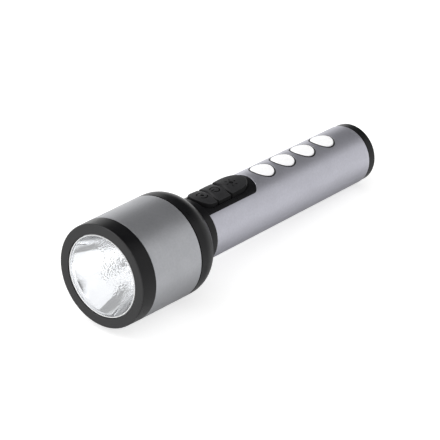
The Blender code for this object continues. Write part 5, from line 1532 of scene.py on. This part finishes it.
class TORCH_OT_tail(bpy.types.Operator):
    """Make the tail cap with its thread, and its seal"""

    bl_idname = "torch.tail"
    bl_label = "Tail Cap and Seal"

    def execute(self, context):
        size = shapes()
        small = size.edge_round
        groove = TAIL_RADIUS - 0.5 * MM
        seal_floor = TAIL_SPIGOT_RADIUS - 0.5 * MM
        profile = [
            (TAIL_SPIGOT_FRONT, TAIL_SPIGOT_BORE, small),
            (TAIL_SPIGOT_FRONT, TAIL_SPIGOT_RADIUS, small),
            (SEAL_PLACE - SEAL_ROOM, TAIL_SPIGOT_RADIUS, 0.08 * MM),
            (SEAL_PLACE - SEAL_ROOM, seal_floor, 0.08 * MM),
            (SEAL_PLACE + SEAL_ROOM, seal_floor, 0.08 * MM),
            (SEAL_PLACE + SEAL_ROOM, TAIL_SPIGOT_RADIUS, 0.08 * MM),
            (TAIL_RIM_FRONT, TAIL_SPIGOT_RADIUS, 0.0),
            (TAIL_RIM_FRONT, groove, 0.05 * MM),
            (TAIL_RIM_FRONT + TAIL_RIM_STEP, groove, 0.0),
            (TAIL_RIM_FRONT + TAIL_RIM_STEP, TAIL_RADIUS, 0.1 * MM),
            (TORCH_LENGTH, TAIL_RADIUS, 0.5 * MM),
            (TORCH_LENGTH, TAIL_DISH_RADIUS, 0.12 * MM),
            (TAIL_DISH_FLOOR, TAIL_DISH_RADIUS - 0.4 * MM, 0.12 * MM),
            (TAIL_DISH_FLOOR, 0.0, 0.0),
            (TAIL_FLOOR, 0.0, 0.0),
            (TAIL_FLOOR, TAIL_SPIGOT_BORE, 0.3 * MM),
        ]
        bm = new_bmesh()
        add_turned(bm, rounded(profile), size.round_steps)
        add_thread(bm, TAIL_SPIGOT_RADIUS, 1.0, THREAD_START)
        place_piece("tail_cap_smooth", mesh_from(bm, "tail_cap_smooth"), "tail",
                    ["black_plastic"], ["tail_cap"])
        bm = new_bmesh()
        ring = []
        for i in range(20):
            angle = 2 * math.pi * i / 20
            ring.append((SEAL_PLACE + SEAL_THICKNESS * math.cos(angle),
                         seal_floor + FIT + SEAL_THICKNESS * (1 + math.sin(angle)), 0.0))
        add_turned(bm, ring, 96)
        place_piece("tail_seal_round", mesh_from(bm, "tail_seal_round"), "tail",
                    ["black_rubber"], ["tail_seal"])
        return {"FINISHED"}


class TORCH_OT_inner_parts(bpy.types.Operator):
    """Give every solid that stays its own finish"""

    bl_idname = "torch.inner_parts"
    bl_label = "Inner Parts"

    def execute(self, context):
        known = {m["slot"] for m in frame["record"]["materials"]}
        for name, item in frame["nodes"].items():
            for place in item.material_slots:
                label = place.material.name.split(".")[0]
                if label not in known:
                    raise RuntimeError("%s has a finish that is not in the record: %s" % (name, label))
                place.material = finish("white_board" if name == "led_board" else label)
        return {"FINISHED"}


class TORCH_OT_stage(bpy.types.Operator):
    """Make the floor, the light and the camera"""

    bl_idname = "torch.stage"
    bl_label = "Stage"

    def execute(self, context):
        studio = context.scene.torch_studio
        self.make_floor()
        self.make_world(studio)
        self.make_lamp(studio)
        self.make_camera(studio)
        context.scene.view_settings.view_transform = "Standard"
        return {"FINISHED"}

    def make_floor(self):
        """Pale paper; what the torch mirrors of it is set apart from what the camera sees: a painted shadow
        under and beside the torch, darker on the near side, and painted pools of light in front of the head
        and on the far side, seen only in reflections.
        """
        size = 6.0
        low = -0.2 * MM
        mesh = bpy.data.meshes.new("studio_floor")
        corners = [(-size, -size, low), (size, -size, low), (size, size, low), (-size, size, low)]
        mesh.from_pydata(corners, [], [(0, 1, 2, 3)])
        floor = bpy.data.objects.new("studio_floor", mesh)
        bpy.context.scene.collection.objects.link(floor)
        material, tree, shader = new_material("studio_paper")
        path = add_node(tree, "ShaderNodeLightPath").outputs
        position = add_node(tree, "ShaderNodeNewGeometry").outputs["Position"]
        x, y, _ = add_node(tree, "ShaderNodeSeparateXYZ", {0: position}).outputs
        # Painted shadow: what the torch mirrors of the floor fades to nothing near the torch, and is darker
        # on the near side.
        past = maths(tree, "SUBTRACT", maths(tree, "ABSOLUTE", x), TORCH_LENGTH / 2)
        past = maths(tree, "MAXIMUM", past, 0.0)
        apart = maths(tree, "MULTIPLY_ADD", past, past, maths(tree, "MULTIPLY", y, y))
        apart = maths(tree, "SQRT", apart)
        painted_shadow_falloff = maths(tree, "MULTIPLY", spread(tree, apart, 5.0 * MM, 60.0 * MM),
                           spread(tree, y, -0.03, 0.05, 0.72, 1.0))
        # Painted pools of light, seen only in reflections: in front of the head, and on the far side towards
        # the tail.
        front_painted_pool = spread(tree, x, -0.10, -0.102)
        far = maths(tree, "MULTIPLY", spread(tree, y, 0.06, 0.15), spread(tree, x, -0.05, 0.0))
        mirrored = maths(tree, "MULTIPLY", path["Is Glossy Ray"], maths(tree, "ADD", painted_shadow_falloff, front_painted_pool))
        seen = maths(tree, "MAXIMUM", path["Is Camera Ray"], mirrored)
        seen = maths(tree, "MAXIMUM", seen, path["Is Transmission Ray"])
        white = mixed(tree, seen, colour((0.0, 0.0, 0.0)), colour((1.0, 1.0, 1.0)))
        # The pools' painted brightness, strongest just in front of the head.
        nearer = spread(tree, x, -0.105, -0.165)
        painted_pool_glow = mixed(tree, nearer, colour((6.0, 6.0, 6.2)), colour((2.6, 2.6, 2.7)))
        painted_pool_glow = mixed(tree, far, painted_pool_glow, colour((2.4, 2.4, 2.45)))
        painted_pool_share = maths(tree, "MULTIPLY", path["Is Glossy Ray"], maths(tree, "MAXIMUM", far, front_painted_pool))
        tree.links.new(mixed(tree, painted_pool_share, white, painted_pool_glow), shader.inputs["Emission Color"])
        grain = add_node(tree, "ShaderNodeTexNoise", {"Scale": 60.0, "Detail": 3.0}).outputs[0]
        base = mixed(tree, grain, colour((0.60, 0.60, 0.60)), colour((0.62, 0.62, 0.62)))
        set_surface(tree, shader, base, 0.9)
        shader.inputs["Specular IOR Level"].default_value = 0.1
        shader.inputs["Emission Strength"].default_value = 0.66
        mesh.materials.append(material)

    def make_world(self, studio):
        world = bpy.data.worlds.new("studio_world")
        world.use_nodes = True
        bpy.context.scene.world = world
        tree = world.node_tree
        tree.nodes.clear()
        direction = add_node(tree, "ShaderNodeTexCoord").outputs["Generated"]
        towards = add_node(tree, "ShaderNodeVectorMath", {0: direction, 1: DARK_SIDE_WAY},
                           operation="DOT_PRODUCT").outputs["Value"]
        share = add_node(tree, "ShaderNodeMapRange", {
            0: towards, 1: math.cos(DARK_SIDE_REACH), 2: math.cos(DARK_SIDE_REACH / 2), 3: 0.0, 4: 1.0},
            interpolation_type="SMOOTHSTEP").outputs[0]
        parts = add_node(tree, "ShaderNodeSeparateXYZ", {0: direction}).outputs
        open_side = add_node(tree, "ShaderNodeMapRange", {
            0: parts[0], 1: -0.1, 2: -0.7, 3: studio.around, 4: studio.front},
            interpolation_type="SMOOTHSTEP").outputs[0]
        near_side = maths(tree, "MULTIPLY", spread(tree, parts[1], -0.42, -0.50), spread(
            tree, parts[0], -0.30, -0.45))
        open_side = spread(tree, near_side, 0.0, 1.0, open_side, studio.near_side)
        level = spread(tree, share, 0.0, 1.0, open_side, studio.dark_side)
        seen = add_node(tree, "ShaderNodeLightPath").outputs["Is Camera Ray"]
        strength = spread(tree, seen, 0.0, 1.0, level, 1.0)
        back = add_node(tree, "ShaderNodeBackground", {"Color": colour((1.0, 1.0, 1.0)),
                                                       "Strength": strength}).outputs[0]
        target = add_node(tree, "ShaderNodeOutputWorld")
        tree.links.new(back, target.inputs["Surface"])

    def make_lamp(self, studio):
        data = bpy.data.lights.new("softbox_above", "AREA")
        data.shape = "RECTANGLE"
        data.size = 0.6
        data.size_y = 0.6
        data.energy = studio.softbox
        lamp = bpy.data.objects.new("softbox_above", data)
        bpy.context.scene.collection.objects.link(lamp)
        place = Vector((-0.35, 0.35, 0.75))
        lamp.location = place
        lamp.rotation_euler = (place - AIM_POINT).to_track_quat("Z", "Y").to_euler()

    def make_camera(self, studio):
        back = Vector((math.sin(studio.azimuth) * math.cos(studio.elevation),
                       -math.cos(studio.azimuth) * math.cos(studio.elevation),
                       math.sin(studio.elevation)))
        right = Vector((math.cos(studio.azimuth), math.sin(studio.azimuth), 0.0))
        up = back.cross(right)
        turned_right = right * math.cos(studio.roll) - up * math.sin(studio.roll)
        turned_up = back.cross(turned_right)
        data = bpy.data.cameras.new("camera")
        data.lens = studio.focal
        data.sensor_width = 36.0
        camera = bpy.data.objects.new("camera", data)
        bpy.context.scene.collection.objects.link(camera)
        turn = Matrix((turned_right, turned_up, back)).transposed().to_4x4()
        camera.matrix_world = Matrix.Translation(AIM_POINT + back * studio.distance) @ turn
        bpy.context.scene.camera = camera


class TORCH_PT_sidebar(bpy.types.Panel):
    """Lists the steps that dress the torch"""

    bl_idname = "TORCH_PT_sidebar"
    bl_label = "Torch"
    bl_space_type = "VIEW_3D"
    bl_region_type = "UI"
    bl_category = "Torch"

    def draw(self, context):
        layout = self.layout
        for group in ("torch_shapes", "torch_finishes", "torch_studio"):
            box = layout.box()
            values = getattr(context.scene, group)
            for name in values.__annotations__:
                box.prop(values, name)
        for step in STEPS:
            layout.operator(step.bl_idname)


STEPS = (
    TORCH_OT_bezel,
    TORCH_OT_optics,
    TORCH_OT_head,
    TORCH_OT_handle,
    TORCH_OT_keys,
    TORCH_OT_side_lamps,
    TORCH_OT_tail,
    TORCH_OT_inner_parts,
    TORCH_OT_stage,
)
GROUPS = (("torch_shapes", TorchShapes), ("torch_finishes", TorchFinishes), ("torch_studio", TorchStudio))


def register():
    for name, group in GROUPS:
        bpy.utils.register_class(group)
        setattr(bpy.types.Scene, name, PointerProperty(type=group))
    for item in STEPS + (TORCH_PT_sidebar,):
        bpy.utils.register_class(item)


def unregister():
    for item in reversed(STEPS + (TORCH_PT_sidebar,)):
        bpy.utils.unregister_class(item)
    for name, group in reversed(GROUPS):
        delattr(bpy.types.Scene, name)
        bpy.utils.unregister_class(group)


def main():
    register()
    bpy.ops.torch.bezel()
    bpy.ops.torch.optics()
    bpy.ops.torch.head()
    bpy.ops.torch.handle()
    bpy.ops.torch.keys()
    bpy.ops.torch.side_lamps()
    bpy.ops.torch.tail()
    bpy.ops.torch.inner_parts()
    bpy.ops.torch.stage()


if __name__ == "__main__":
    main()
